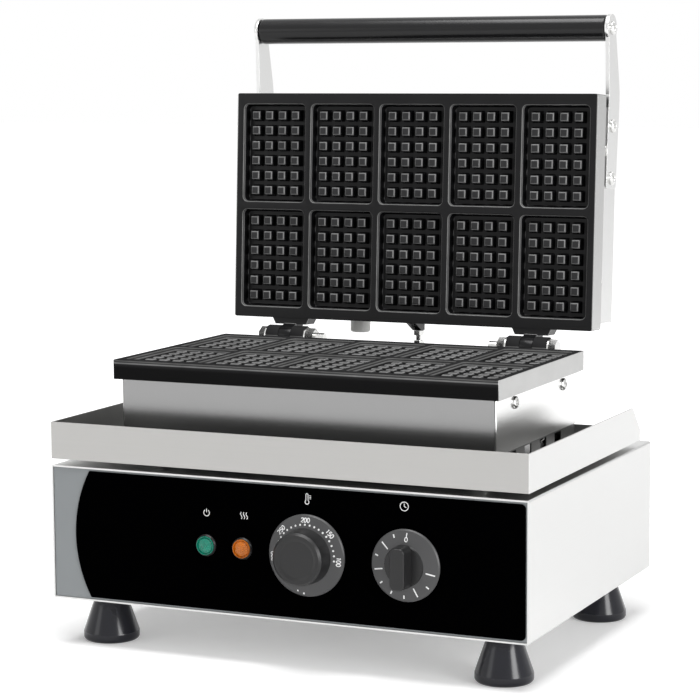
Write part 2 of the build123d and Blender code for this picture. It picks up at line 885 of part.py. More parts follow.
with BuildPart() as lower_plate:
    add(cast_plate(
        lower_face,
        lower_rim,
        [(box_screw_low_l, lower_boss_depth), (box_screw_high_l, lower_boss_depth)],
    ))
    for centre_x in (-hinge_x, hinge_x):
        for side in (-1, 1):
            near = inner_ear_width / 2 + ear_side_gap
            start_x = centre_x + side * near
            with BuildSketch(Plane.YZ.offset(start_x)):
                with BuildLine():
                    Polyline(
                        (plate_rear_y - ear_root, ear_low_z),
                        (hinge_y, hinge_z - knuckle_radius),
                        (hinge_y, hinge_z),
                        (plate_rear_y - ear_root, lower_face_z - seat_gap),
                        close=True,
                    )
                make_face()
                with Locations((hinge_y, hinge_z)):
                    Circle(knuckle_radius)
                    Circle(hinge_bolt_radius + running_clearance, mode=Mode.SUBTRACT)
            extrude(amount=side * outer_ear_width)
    with BuildSketch(Plane.XY.offset(tab_top_z)):
        with Locations((0, plate_rear_y - ear_root)):
            Rectangle(
                stop_tab_width,
                tab_rear_y - plate_rear_y + ear_root,
                align=(Align.CENTER, Align.MIN),
            )
        with Locations((0, stop_y)):
            Circle(stop_shank_radius + running_clearance, mode=Mode.SUBTRACT)
    extrude(amount=-stop_tab_thickness)
    for side in (-1, 1):
        with BuildSketch(Plane.YZ.offset(side * box_width / 2)):
            with Locations(*[(y, lower_screw_z) for y in lower_screw_ys]):
                Circle(side_screw_radius + running_clearance)
        extrude(amount=-side * side_hole_depth, mode=Mode.SUBTRACT)
    cut_moulds(lower_face, mould_stud)
lower_plate.part.label = "lower_plate"
export_step(lower_plate.part, "parts/lower_plate.step")

# Lower heating element: hairpin legs under the cast plate, with thin terminal pins
element_radius_gap = element_radius + seat_gap
pin_radius = 2.0
pin_length = 9.0


def hairpin_element(face):
    """Return a tubular element that lies against the back of the cast plate in the given face."""
    plane = face.offset(-core_depth - element_radius_gap)
    first_x = -element_pitch * (element_legs - 1) / 2
    route = [(first_x, element_start)]
    for leg in range(element_legs - 1):
        turn_l = element_far if leg % 2 == 0 else element_near
        route.append((first_x + leg * element_pitch, turn_l))
        route.append((first_x + (leg + 1) * element_pitch, turn_l))
    route.append((-first_x, element_start))
    with BuildPart() as element:
        with BuildLine(plane) as centre_line:
            FilletPolyline(*route, radius=element_bend)
        with BuildSketch(Plane(centre_line.line @ 0, z_dir=centre_line.line % 0)):
            Circle(element_radius)
        sweep(path=centre_line.line)
        for end_x in (first_x, -first_x):
            end = plane.from_local_coords(Vector(end_x, element_start, 0))
            with BuildSketch(Plane(origin=end, z_dir=plane.y_dir * -1)):
                Circle(pin_radius)
            extrude(amount=pin_length)
    return element


def clamp_bars(face):
    """Return the two bars that press an element to its plate, peened on cast studs."""
    with BuildPart() as bars:
        with BuildSketch(face.offset(-clamp_depth)):
            for clamp_l in (clamp_near_l, clamp_far_l):
                with Locations((0, clamp_l)):
                    Rectangle(clamp_length, clamp_width)
                with Locations((-clamp_stud_x, clamp_l), (clamp_stud_x, clamp_l)):
                    Circle(clamp_stud_radius + running_clearance, mode=Mode.SUBTRACT)
        extrude(amount=-clamp_thickness)
    return bars


lower_heating_element = hairpin_element(lower_face)
lower_heating_element.part.label = "lower_heating_element"
export_step(lower_heating_element.part, "parts/lower_heating_element.step")
lower_element_clamps = clamp_bars(lower_face)
lower_element_clamps.part.label = "lower_element_clamps"
export_step(lower_element_clamps.part, "parts/lower_element_clamps.step")

# Insulation blanket on the floor of the heater box, with holes for the bolts and the wiring
blanket_side_gap = 2.0
blanket_width = 2 * (boss_x - boss_width / 2 - blanket_side_gap)
blanket_length = core_length - 2 * blanket_side_gap
blanket_top = lower_face_z - clamp_depth - clamp_thickness - seat_gap
blanket_bottom = box_bottom + sheet + seat_gap
blanket_hole_radius = sleeve_radius + sleeve_collar
bolt_hole_radius = 6.0

with BuildPart() as lower_insulation:
    with BuildSketch(Plane.XY.offset(blanket_bottom)):
        with Locations((0, plate_rear_y - core_centre_l)):
            Rectangle(blanket_width, blanket_length)
        with Locations((0, sleeve_y)):
            Circle(blanket_hole_radius, mode=Mode.SUBTRACT)
        with Locations(*box_bolts_at):
            Circle(bolt_hole_radius, mode=Mode.SUBTRACT)
    extrude(amount=blanket_top - blanket_bottom)
lower_insulation.part.label = "lower_insulation"
export_step(lower_insulation.part, "parts/lower_insulation.step")

# High-limit cut-out against the back of the lower plate
cutout_flange_length = 24.0
cutout_flange_thickness = 1.0

with BuildPart() as high_limit_cutout:
    with BuildSketch(lower_face.offset(-core_depth - seat_gap)):
        with Locations((element_pitch, core_centre_l)):
            SlotOverall(cutout_flange_length, cutout_radius, rotation=90)
    extrude(amount=-cutout_flange_thickness)
    with BuildSketch(lower_face.offset(-core_depth - seat_gap)):
        with Locations((element_pitch, core_centre_l)):
            Circle(cutout_radius)
    extrude(amount=-cutout_height)
high_limit_cutout.part.label = "high_limit_cutout"
export_step(high_limit_cutout.part, "parts/high_limit_cutout.step")

# Sleeve for the wires, from the base up through the pedestal into the heater box
sleeve_top = box_bottom + sheet + sleeve_end
sleeve_flange_z = base_top - sheet
sleeve_flange_thickness = 1.5

with BuildPart() as wiring_sleeve:
    with BuildSketch(Plane.XY.offset(sleeve_flange_z - sleeve_flange_thickness)):
        with Locations((0, sleeve_y)):
            Circle(sleeve_radius + sleeve_collar)
    extrude(amount=sleeve_flange_thickness)
    with BuildSketch(Plane.XY.offset(sleeve_flange_z - sleeve_end)):
        with Locations((0, sleeve_y)):
            Circle(sleeve_radius)
    extrude(amount=sleeve_top - sleeve_flange_z + sleeve_end)
    with BuildSketch(Plane.XY.offset(sleeve_flange_z - sleeve_end)):
        with Locations((0, sleeve_y)):
            Circle(sleeve_radius - sleeve_wall)
    extrude(amount=sleeve_top - sleeve_flange_z + sleeve_end, mode=Mode.SUBTRACT)
wiring_sleeve.part.label = "wiring_sleeve"
export_step(wiring_sleeve.part, "parts/wiring_sleeve.step")

# Screws of the heater box
side_screw = round_screw(
    side_screw_radius,
    sheet + screw_bite,
    side_screw_head_radius,
    side_screw_head_height,
)

with BuildPart() as heater_box_screws:
    for side in (-1, 1):
        for y in lower_screw_ys:
            seat = (side * box_width / 2, y, lower_screw_z)
            with Locations(Plane(origin=seat, z_dir=(side, 0, 0))):
                add(side_screw)
heater_box_screws.part.label = "heater_box_screws"
export_step(heater_box_screws.part, "parts/heater_box_screws.step")

# Hinge bolts, washers and nuts, heads outwards
hinge_half = inner_ear_width / 2 + ear_side_gap + outer_ear_width
hinge_washer_thickness = 1.6
hinge_washer_radius = 8.0
hinge_nut_height = 6.5
hinge_nut_flats = 13.0
hinge_head_height = 5.3
hinge_thread_end = 8.0
hinge_bolt_length = 2 * hinge_half + 2 * hinge_washer_thickness + hinge_nut_height + hinge_thread_end
hinge_bolt = hex_bolt(hinge_bolt_radius, hinge_bolt_length, hinge_nut_flats, hinge_head_height)
hinge_washer = ring(hinge_washer_radius, hinge_bolt_radius + running_clearance, hinge_washer_thickness)
hinge_nut = hex_nut(hinge_nut_flats, hinge_bolt_radius + running_clearance, hinge_nut_height)


def on_hinge(side, distance):
    """Return the plane on the hinge axis, facing outwards, at a distance from the hinge's middle."""
    return Plane(origin=(side * (hinge_x + distance), hinge_y, hinge_z), z_dir=(side, 0, 0))


with BuildPart() as hinge_bolts:
    for side in (-1, 1):
        with Locations(on_hinge(side, hinge_half + hinge_washer_thickness)):
            add(hinge_bolt)
hinge_bolts.part.label = "hinge_bolts"
export_step(hinge_bolts.part, "parts/hinge_bolts.step")

with BuildPart() as hinge_washers:
    for side in (-1, 1):
        with Locations(
            on_hinge(side, hinge_half),
            on_hinge(side, -hinge_half - hinge_washer_thickness),
        ):
            add(hinge_washer)
hinge_washers.part.label = "hinge_washers"
export_step(hinge_washers.part, "parts/hinge_washers.step")

with BuildPart() as hinge_nuts:
    for side in (-1, 1):
        nut_seat = -hinge_half - hinge_washer_thickness - hinge_nut_height
        with Locations(on_hinge(side, nut_seat)):
            add(hinge_nut)
hinge_nuts.part.label = "hinge_nuts"
export_step(hinge_nuts.part, "parts/hinge_nuts.step")

# Stop screw with its lock nut, on the tab behind the lower plate
stop_head_z = tab_top_z + stop_standoff
stop_top_z = stop_head_z + stop_head_height

with BuildPart() as stop_screw:
    with Locations((0, stop_y, stop_head_z)):
        add(hex_bolt(
            stop_shank_radius,
            stop_standoff + stop_tab_thickness + stop_thread_end,
            stop_head_flats,
            stop_head_height,
        ))
stop_screw.part.label = "stop_screw"
export_step(stop_screw.part, "parts/stop_screw.step")

with BuildPart() as stop_nut:
    with Locations((0, stop_y, tab_top_z)):
        add(hex_nut(stop_head_flats, stop_shank_radius + running_clearance, stop_nut_height))
stop_nut.part.label = "stop_nut"
export_step(stop_nut.part, "parts/stop_nut.step")

# Upper plate: the same moulds, two hinge lugs and the stop lug
upper_boss_depths = [
    (box_screw_low_l, cover_screw_t + boss_cover),
    (box_screw_high_l, cover_screw_t + boss_cover),
    (arm_screw_low_l, arm_screw_t + boss_cover),
    (arm_screw_high_l, arm_screw_t + boss_cover),
]
stop_bearing_z = stop_top_z + seat_gap
stop_lug_rear_y = stop_y + stop_lug_depth / 2
stop_lug_front_y = stop_y - stop_lug_depth / 2

with BuildPart() as upper_plate:
    add(cast_plate(upper_face, upper_rim, upper_boss_depths))
    for centre_x in (-hinge_x, hinge_x):
        with BuildSketch(upper_face.offset(-lug_front)):
            with BuildLine():
                Polyline(
                    (centre_x - lug_width / 2, ear_root),
                    (centre_x + lug_width / 2, ear_root),
                    (centre_x + lug_width / 2 - lug_taper, -lug_height),
                    (centre_x - lug_width / 2 + lug_taper, -lug_height),
                    close=True,
                )
            make_face()
        extrude(amount=lug_front - lug_back)
        with BuildSketch(lid_side.offset(inner_ear_width / 2 - centre_x)):
            with BuildLine():
                Polyline(
                    (ear_root - lug_height, lug_front),
                    (-hinge_offset + knuckle_radius * 0.7, lid_axis_t - knuckle_radius * 0.7),
                    (-hinge_offset, lid_axis_t),
                    (-hinge_offset - knuckle_radius * 0.57, lid_axis_t + knuckle_radius * 0.8),
                    (ear_root - lug_height, lug_back - 2),
                    close=True,
                )
            make_face()
            with Locations((-hinge_offset, lid_axis_t)):
                Circle(knuckle_radius - seat_gap)
        extrude(amount=-inner_ear_width)
        with BuildSketch(Plane.YZ.offset(centre_x)):
            with Locations((hinge_y, hinge_z)):
                Circle(hinge_bolt_radius + running_clearance)
        extrude(amount=inner_ear_width, both=True, mode=Mode.SUBTRACT)
    with BuildSketch(Plane.YZ):
        with BuildLine():
            Polyline(
                lid_yz(ear_root, stop_lug_depth),
                lid_yz(0, stop_lug_depth),
                (stop_lug_front_y, stop_bearing_z),
                (stop_lug_rear_y, stop_bearing_z),
                lid_yz(cover_start - 2, upper_rim + stop_lug_depth),
                lid_yz(ear_root, upper_rim - ear_root),
                close=True,
            )
        make_face()
    extrude(amount=stop_lug_width / 2, both=True)
    for side in (-1, 1):
        with BuildSketch(lid_side.offset(-side * box_width / 2)):
            with Locations((box_screw_low_l, cover_screw_t), (box_screw_high_l, cover_screw_t)):
                Circle(side_screw_radius + running_clearance)
            with Locations((arm_screw_low_l, arm_screw_t), (arm_screw_high_l, arm_screw_t)):
                Circle(arm_screw_radius + running_clearance)
        extrude(amount=side * side_hole_depth, mode=Mode.SUBTRACT)
    cut_moulds(upper_face, mould_stud)
upper_plate.part.label = "upper_plate"
export_step(upper_plate.part, "parts/upper_plate.step")

upper_heating_element = hairpin_element(upper_face)
upper_heating_element.part.label = "upper_heating_element"
export_step(upper_heating_element.part, "parts/upper_heating_element.step")
upper_element_clamps = clamp_bars(upper_face)
upper_element_clamps.part.label = "upper_element_clamps"
export_step(upper_element_clamps.part, "parts/upper_element_clamps.step")

# Lid cover: a folded box behind the upper plate
cover_middle_l = cover_start + cover_length / 2
cover_round = 2.5
conduit_t = upper_rim + cover_height * 0.55

with BuildPart() as lid_cover:
    with BuildSketch(upper_face.offset(-upper_rim)):
        with Locations((0, cover_middle_l)):
            Rectangle(box_width, cover_length)
    extrude(amount=-cover_height)
    fillet(lid_cover.faces().sort_by(Axis(lid_origin, t_direction))[-1].edges(), cover_round)
    with BuildSketch(upper_face.offset(-upper_rim)):
        with Locations((0, cover_middle_l)):
            Rectangle(box_width - 2 * sheet, cover_length - 2 * sheet)
    extrude(amount=sheet - cover_height, mode=Mode.SUBTRACT)
    for side in (-1, 1):
        with BuildSketch(lid_side.offset(-side * box_width / 2)):
            with Locations((box_screw_low_l, cover_screw_t), (box_screw_high_l, cover_screw_t)):
                Circle(side_screw_radius + hole_clearance)
            with Locations((arm_screw_low_l, arm_screw_t), (arm_screw_high_l, arm_screw_t)):
                Circle(arm_screw_radius + hole_clearance)
        extrude(amount=side * 2 * sheet, mode=Mode.SUBTRACT)
    with BuildSketch(Plane(
        origin=lid_origin + l_direction * cover_start + t_direction * conduit_t,
        x_dir=(1, 0, 0),
        z_dir=l_direction,
    )):
        with Locations((conduit_x, 0)):
            Circle(gland_neck_radius + hole_clearance)
    extrude(amount=2 * sheet, mode=Mode.SUBTRACT)
lid_cover.part.label = "lid_cover"
export_step(lid_cover.part, "parts/lid_cover.step")

# Insulation blanket in the lid
upper_blanket_top = clamp_depth + clamp_thickness + seat_gap
upper_blanket_bottom = upper_rim + cover_height - sheet - seat_gap
blanket_end_gap = gland_neck_length + blanket_side_gap

with BuildPart() as upper_insulation:
    with BuildSketch(upper_face.offset(-upper_blanket_top)):
        with Locations((0, cover_middle_l)):
            Rectangle(blanket_width, cover_length - 2 * blanket_end_gap)
    extrude(amount=upper_blanket_top - upper_blanket_bottom)
upper_insulation.part.label = "upper_insulation"
export_step(upper_insulation.part, "parts/upper_insulation.step")


def side_seat(side, x, l, t):
    """Return a plane on the lid's side that faces outwards at the given l and t."""
    origin = lid_origin + l_direction * l + t_direction * t + Vector(side * x, 0, 0)
    return Plane(origin=origin, z_dir=(side, 0, 0))


with BuildPart() as lid_cover_screws:
    for side in (-1, 1):
        for screw_l in (box_screw_low_l, box_screw_high_l):
            with Locations(side_seat(side, box_width / 2, screw_l, cover_screw_t)):
                add(side_screw)
lid_cover_screws.part.label = "lid_cover_screws"
export_step(lid_cover_screws.part, "parts/lid_cover_screws.step")


# Handle arms: flat bars that swell past the lid's edge and end in a round head
def handle_arm(side):
    """Return the arm on one side of the lid, -1 for left and 1 for right."""
    with BuildPart() as arm:
        with BuildSketch(lid_side.offset(-side * box_width / 2)) as outline:
            with BuildLine():
                Polyline(
                    (arm_foot_l, arm_front_t),
                    (arm_shoulder_l, arm_shoulder_t),
                    (arm_head_l, arm_head_t - arm_neck_half),
                    (arm_head_l, arm_head_t + arm_neck_half),
                    (arm_bulge_l, arm_bulge_t),
                    (arm_foot_l, arm_rear_t),
                    close=True,
                )
            make_face()
            fillet(outline.vertices().group_by(Axis.X)[0], arm_foot_round)
            fillet(outline.vertices().sort_by(Axis.Y)[-1], arm_bulge_round)
            with Locations((arm_head_l, arm_head_t)):
                Circle(arm_head_radius)
                Circle(arm_screw_radius + hole_clearance, mode=Mode.SUBTRACT)
            with Locations((arm_screw_low_l, arm_screw_t), (arm_screw_high_l, arm_screw_t)):
                Circle(arm_screw_radius + hole_clearance, mode=Mode.SUBTRACT)
        extrude(amount=-side * arm_thickness)
    return arm


handle_arm_left = handle_arm(-1)
handle_arm_left.part.label = "handle_arm_left"
export_step(handle_arm_left.part, "parts/handle_arm_left.step")
handle_arm_right = handle_arm(1)
handle_arm_right.part.label = "handle_arm_right"
export_step(handle_arm_right.part, "parts/handle_arm_right.step")

arm_screw = round_screw(
    arm_screw_radius,
    arm_thickness + sheet + screw_bite,
    arm_screw_head_radius,
    arm_screw_head_height,
)

with BuildPart() as arm_screws:
    for side in (-1, 1):
        for screw_l in (arm_screw_low_l, arm_screw_high_l):
            with Locations(side_seat(side, box_width / 2 + arm_thickness, screw_l, arm_screw_t)):
                add(arm_screw)
arm_screws.part.label = "arm_screws"
export_step(arm_screws.part, "parts/arm_screws.step")

# Handle grip on its tie rod, with a screw at each end
grip_round = 2.5
grip_length = box_width - 2 * sheet_gap
rod_thread_depth = 16.0

with BuildPart() as handle_grip:
    with BuildSketch(lid_side.offset(-grip_length / 2)):
        with Locations((arm_head_l, arm_head_t)):
            Circle(grip_radius)
    extrude(amount=grip_length)
    fillet(handle_grip.edges().filter_by(GeomType.CIRCLE), grip_round)
    with BuildSketch(lid_side.offset(-grip_length / 2)):
        with Locations((arm_head_l, arm_head_t)):
            Circle(rod_radius + running_clearance)
    extrude(amount=grip_length, mode=Mode.SUBTRACT)
handle_grip.part.label = "handle_grip"
export_step(handle_grip.part, "parts/handle_grip.step")

with BuildPart() as handle_rod:
    with BuildSketch(lid_side.offset(-grip_length / 2)):
        with Locations((arm_head_l, arm_head_t)):
            Circle(rod_radius)
    extrude(amount=grip_length)
    for side in (-1, 1):
        with BuildSketch(lid_side.offset(-side * grip_length / 2)):
            with Locations((arm_head_l, arm_head_t)):
                Circle(arm_screw_radius + running_clearance)
        extrude(amount=side * rod_thread_depth, mode=Mode.SUBTRACT)
handle_rod.part.label = "handle_rod"
export_step(handle_rod.part, "parts/handle_rod.step")

with BuildPart() as handle_screws:
    for side in (-1, 1):
        with Locations(side_seat(side, box_width / 2 + arm_thickness, arm_head_l, arm_head_t)):
            add(arm_screw)
handle_screws.part.label = "handle_screws"
export_step(handle_screws.part, "parts/handle_screws.step")


# Glands: a turned body with a hexagon, seated on its own XY plane, with a neck through the sheet
def gland():
    """Return a cable gland; the neck reaches below its own XY plane, through the sheet."""
    with BuildPart() as body:
        with BuildSketch(Plane.XY):
            RegularPolygon(radius=gland_radius, side_count=6, major_radius=False)
        extrude(amount=gland_hex_height)
        with BuildSketch(Plane.XY.offset(gland_hex_height)):
            Circle(gland_cap_radius)
        extrude(amount=gland_cap_height)
        fillet(body.faces().sort_by(Axis.Z)[-1].edges(), gland_cap_round)
        with BuildSketch(Plane.XY):
            Circle(gland_neck_radius)
        extrude(amount=-gland_neck_length)
        with BuildSketch(Plane.XY.offset(-gland_neck_length)):
            Circle(gland_bore)
        extrude(
            amount=gland_neck_length + gland_hex_height + gland_cap_height,
            mode=Mode.SUBTRACT,
        )
    return body.part


with BuildPart() as cable_gland:
    with Locations(Plane(
        origin=(gland_x, base_rear_y, base_bottom + gland_height),
        z_dir=(0, 1, 0),
    )):
        add(gland())
cable_gland.part.label = "cable_gland"
export_step(cable_gland.part, "parts/cable_gland.step")

with BuildPart() as box_gland:
    with Locations(Plane(origin=(conduit_x, box_rear_y, conduit_z), z_dir=(0, 1, 0))):
        add(gland())
box_gland.part.label = "box_gland"
export_step(box_gland.part, "parts/box_gland.step")

with BuildPart() as lid_gland:
    seat = lid_origin + l_direction * cover_start + t_direction * conduit_t
    with Locations(Plane(origin=seat + Vector(conduit_x, 0, 0), z_dir=l_direction * -1)):
        add(gland())
lid_gland.part.label = "lid_gland"
export_step(lid_gland.part, "parts/lid_gland.step")


# Signal lamps: bezel and barrel in one, with a domed lens
def lamp_body(x):
    """Return the body of a signal lamp at x on the panel."""
    rim = lamp_lens_radius + lamp_lens_gap
    with BuildPart() as body:
        with BuildSketch(panel_plane(x, lamp_height)):
            with BuildLine():
                Polyline(
                    (0, -lamp_barrel_length),
                    (lamp_barrel_radius, -lamp_barrel_length),
                    (lamp_barrel_radius, 0),
                    (lamp_bezel_radius, 0),
                    (lamp_bezel_radius, lamp_bezel_height * 0.6),
                    (rim + lamp_bezel_land, lamp_bezel_height),
                    (rim, lamp_bezel_height),
                    (rim, lamp_bezel_height / 3),
                    (0, lamp_bezel_height / 3),
                    close=True,
                )
            make_face()
        revolve(axis=panel_turning(x, lamp_height))
    return body


def lamp_lens(x):
    """Return the domed lens of a signal lamp at x on the panel."""
    seat_a = lamp_bezel_height / 3
    edge_a = lamp_bezel_height + lamp_lens_gap
    top_a = edge_a + lamp_lens_dome
    with BuildPart() as lens:
        with BuildSketch(panel_plane(x, lamp_height)):
            with BuildLine():
                Line((0, top_a), (0, seat_a))
                Line((0, seat_a), (lamp_lens_radius, seat_a))
                Line((lamp_lens_radius, seat_a), (lamp_lens_radius, edge_a))
                ThreePointArc(
                    (lamp_lens_radius, edge_a),
                    dome_middle(lamp_lens_radius, edge_a, top_a),
                    (0, top_a),
                )
            make_face()
        revolve(axis=panel_turning(x, lamp_height))
    return lens


power_lamp_body = lamp_body(power_lamp_x)
power_lamp_body.part.label = "power_lamp_body"
export_step(power_lamp_body.part, "parts/power_lamp_body.step")
heat_lamp_body = lamp_body(heat_lamp_x)
heat_lamp_body.part.label = "heat_lamp_body"
export_step(heat_lamp_body.part, "parts/heat_lamp_body.step")
power_lamp_lens = lamp_lens(power_lamp_x)
power_lamp_lens.part.label = "power_lamp_lens"
export_step(power_lamp_lens.part, "parts/power_lamp_lens.step")
heat_lamp_lens = lamp_lens(heat_lamp_x)
heat_lamp_lens.part.label = "heat_lamp_lens"
export_step(heat_lamp_lens.part, "parts/heat_lamp_lens.step")

lamp_nut = hex_nut(lamp_nut_flats, lamp_barrel_radius + running_clearance, lamp_nut_height)

with BuildPart() as lamp_nuts:
    for x in (power_lamp_x, heat_lamp_x):
        seat = (x, panel_y + sheet, base_bottom + lamp_height)
        with Locations(Plane(origin=seat, z_dir=(0, 1, 0))):
            add(lamp_nut)
lamp_nuts.part.label = "lamp_nuts"
export_step(lamp_nuts.part, "parts/lamp_nuts.step")


# Switch bodies behind the panel, with a bush that carries the shaft
def switch_body(x, height, size):
    """Return the body of a rotary control at x and height on the panel."""
    width, depth, tall = size
    back_y = panel_y + sheet
    front_y = overlay_y - bush_stand
    with BuildPart() as body:
        with BuildSketch(Plane.XZ.offset(-back_y)):
            with Locations((x, base_bottom + height)):
                RectangleRounded(width, tall, switch_corner)
        extrude(amount=-depth)
        with BuildSketch(Plane.XZ.offset(-back_y)):
            with Locations((x, base_bottom + height)):
                Circle(bush_radius)
        extrude(amount=back_y - front_y)
        with BuildSketch(Plane.XZ.offset(-front_y)):
            with Locations((x, base_bottom + height)):
                Circle(shaft_radius + running_clearance)
        extrude(amount=-bush_stand - shaft_depth, mode=Mode.SUBTRACT)
    return body


def shaft(x, height):
    """Return the shaft of a rotary control, from its body out into its knob."""
    with BuildPart() as pin:
        with BuildSketch(Plane.XZ.offset(-overlay_y + shaft_reach)):
            with Locations((x, base_bottom + height)):
                Circle(shaft_radius)
        extrude(amount=-shaft_reach - shaft_depth + shaft_end_gap)
    return pin


thermostat_body = switch_body(thermostat_x, thermostat_height, thermostat_body_size)
thermostat_body.part.label = "thermostat_body"
export_step(thermostat_body.part, "parts/thermostat_body.step")
timer_body = switch_body(timer_x, timer_height, timer_body_size)
timer_body.part.label = "timer_body"
export_step(timer_body.part, "parts/timer_body.step")
thermostat_shaft = shaft(thermostat_x, thermostat_height)
thermostat_shaft.part.label = "thermostat_shaft"
export_step(thermostat_shaft.part, "parts/thermostat_shaft.step")
timer_shaft = shaft(timer_x, timer_height)
timer_shaft.part.label = "timer_shaft"
export_step(timer_shaft.part, "parts/timer_shaft.step")

# Thermostat knob: a numbered skirt and a round grip with a shallow dish
skirt_edge_a = knob_gap + skirt_edge_height
grip_foot_a = skirt_edge_a + skirt_rise

with BuildPart() as thermostat_knob:
    with BuildSketch(panel_plane(thermostat_x, thermostat_height)):
        with BuildLine():
            Polyline(
                (0, knob_gap),
                (thermostat_skirt_radius - skirt_edge_round, knob_gap),
                (thermostat_skirt_radius, knob_gap + skirt_edge_round),
                (thermostat_skirt_radius, skirt_edge_a - skirt_edge_round),
                (thermostat_skirt_radius - skirt_edge_round, skirt_edge_a),
                (thermostat_grip_radius, grip_foot_a),
                (thermostat_grip_radius - grip_taper, thermostat_knob_height - grip_edge_round),
                (thermostat_grip_radius - grip_taper - grip_edge_round, thermostat_knob_height),
                (dish_radius, thermostat_knob_height),
                (dish_radius - dish_slope, thermostat_knob_height - dish_depth),
                (0, thermostat_knob_height - dish_depth),
                close=True,
            )
        make_face()
    revolve(axis=panel_turning(thermostat_x, thermostat_height))
    knob_bore(
        panel_plane(thermostat_x, thermostat_height),
        panel_turning(thermostat_x, thermostat_height),
    )
thermostat_knob.part.label = "thermostat_knob"
export_step(thermostat_knob.part, "parts/thermostat_knob.step")

# Timer knob: a skirt with a raised hub and a bar grip across it
timer_hub_a = grip_foot_a + timer_hub_rise

with BuildPart() as timer_knob:
    with BuildSketch(panel_plane(timer_x, timer_height)):
        with BuildLine():
            Polyline(
                (0, knob_gap),
                (timer_skirt_radius - skirt_edge_round, knob_gap),
                (timer_skirt_radius, knob_gap + skirt_edge_round),
                (timer_skirt_radius, skirt_edge_a - skirt_edge_round),
                (timer_skirt_radius - skirt_edge_round, skirt_edge_a),
                (timer_hub_radius, grip_foot_a),
                (timer_hub_radius - skirt_edge_round, timer_hub_a),
                (0, timer_hub_a),
                close=True,
            )
        make_face()
    revolve(axis=panel_turning(timer_x, timer_height))
    with BuildSketch(Plane.XZ.offset(-overlay_y + skirt_edge_a)):
        with Locations((timer_x, base_bottom + timer_height)):
            RectangleRounded(timer_bar_width, timer_bar_length, timer_bar_corner)
    extrude(amount=timer_knob_height - skirt_edge_a, taper=timer_bar_draft)
    fillet(timer_knob.faces().sort_by(Axis.Y)[0].edges(), grip_taper)
    knob_bore(panel_plane(timer_x, timer_height), panel_turning(timer_x, timer_height))
timer_knob.part.label = "timer_knob"
export_step(timer_knob.part, "parts/timer_knob.step")

# Sensing bulb under the lower plate, and the capillary from the thermostat
bulb_z = lower_face_z - core_depth - seat_gap - bulb_radius
bulb_front_y = plate_rear_y - core_centre_l - bulb_length / 2
bulb_rear_y = bulb_front_y + bulb_length
capillary_z = base_bottom + thermostat_height
capillary_start_y = panel_y + sheet + thermostat_body_size[1]
capillary_bend = 8.0

with BuildPart() as thermostat_bulb:
    with BuildSketch(Plane.XZ.offset(-bulb_rear_y)):
        with Locations((0, bulb_z)):
            Circle(bulb_radius)
    extrude(amount=bulb_length)
thermostat_bulb.part.label = "thermostat_bulb"
export_step(thermostat_bulb.part, "parts/thermostat_bulb.step")

with BuildPart() as capillary:
    with BuildLine() as capillary_route:
        FilletPolyline(
            (thermostat_x, capillary_start_y, capillary_z),
            (thermostat_x, sleeve_y, capillary_z),
            (0, sleeve_y, capillary_z),
            (0, sleeve_y, bulb_z),
            (0, bulb_rear_y, bulb_z),
            radius=capillary_bend,
        )
    with BuildSketch(Plane.XZ.offset(-capillary_start_y)):
        with Locations((thermostat_x, capillary_z)):
            Circle(capillary_radius)
    sweep(path=capillary_route.line)
capillary.part.label = "capillary"
export_step(capillary.part, "parts/capillary.step")

# Terminal block on the bottom plate
terminal_block_size = (64.0, 26.0, 20.0)
terminal_block_at = (-95.0, base_centre_y + 70.0)
terminal_count = 5
terminal_pitch = 12.0
terminal_row_pitch = 10.0
terminal_radius = 2.5
terminal_depth = 6.0

with BuildPart() as terminal_block:
    with BuildSketch(Plane.XY.offset(bottom_plate_z + sheet)):
        with Locations(terminal_block_at):
            Rectangle(terminal_block_size[0], terminal_block_size[1])
    extrude(amount=terminal_block_size[2])
    with BuildSketch(Plane.XY.offset(bottom_plate_z + sheet + terminal_block_size[2])):
        with Locations(terminal_block_at):
            with GridLocations(terminal_pitch, terminal_row_pitch, terminal_count, 2):
                Circle(terminal_radius)
    extrude(amount=-terminal_depth, mode=Mode.SUBTRACT)
terminal_block.part.label = "terminal_block"
export_step(terminal_block.part, "parts/terminal_block.step")
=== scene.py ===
"""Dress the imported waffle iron: finishes, mould faces, prints, lenses, screw heads and a studio.

Lengths are millimetres, as on the drawing of the iron; meshes, lamps and the floor are in metres.
"""
import logging
from dataclasses import dataclass
from enum import Enum
from itertools import product
from math import copysign, cos, pi, radians, sin, tan
from typing import Callable, Iterable, Sequence

import bmesh
import bpy
import numpy as np
from mathutils import Matrix, Vector

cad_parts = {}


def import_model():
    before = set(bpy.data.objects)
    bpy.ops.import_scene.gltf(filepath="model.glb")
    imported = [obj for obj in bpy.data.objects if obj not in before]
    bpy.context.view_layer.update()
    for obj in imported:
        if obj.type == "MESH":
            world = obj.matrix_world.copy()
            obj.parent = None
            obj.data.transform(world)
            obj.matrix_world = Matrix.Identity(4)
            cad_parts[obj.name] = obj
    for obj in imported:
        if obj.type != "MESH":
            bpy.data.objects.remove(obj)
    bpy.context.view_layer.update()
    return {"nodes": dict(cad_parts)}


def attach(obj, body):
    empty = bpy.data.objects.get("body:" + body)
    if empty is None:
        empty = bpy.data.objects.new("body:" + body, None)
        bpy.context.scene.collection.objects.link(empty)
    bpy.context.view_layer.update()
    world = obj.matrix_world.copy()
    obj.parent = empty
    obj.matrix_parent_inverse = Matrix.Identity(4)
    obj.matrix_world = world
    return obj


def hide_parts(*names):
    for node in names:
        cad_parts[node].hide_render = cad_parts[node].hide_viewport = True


LOG = logging.getLogger("waffle_iron")
MM = 0.001
Colour = Place = tuple[float, float, float]
Spot = tuple[float, float]
Array = np.ndarray
Pair = tuple[Array, Array]
Stroke = tuple[Array, float]
Placer = Callable[[Array, Array, Array], Array]
Material = bpy.types.Material
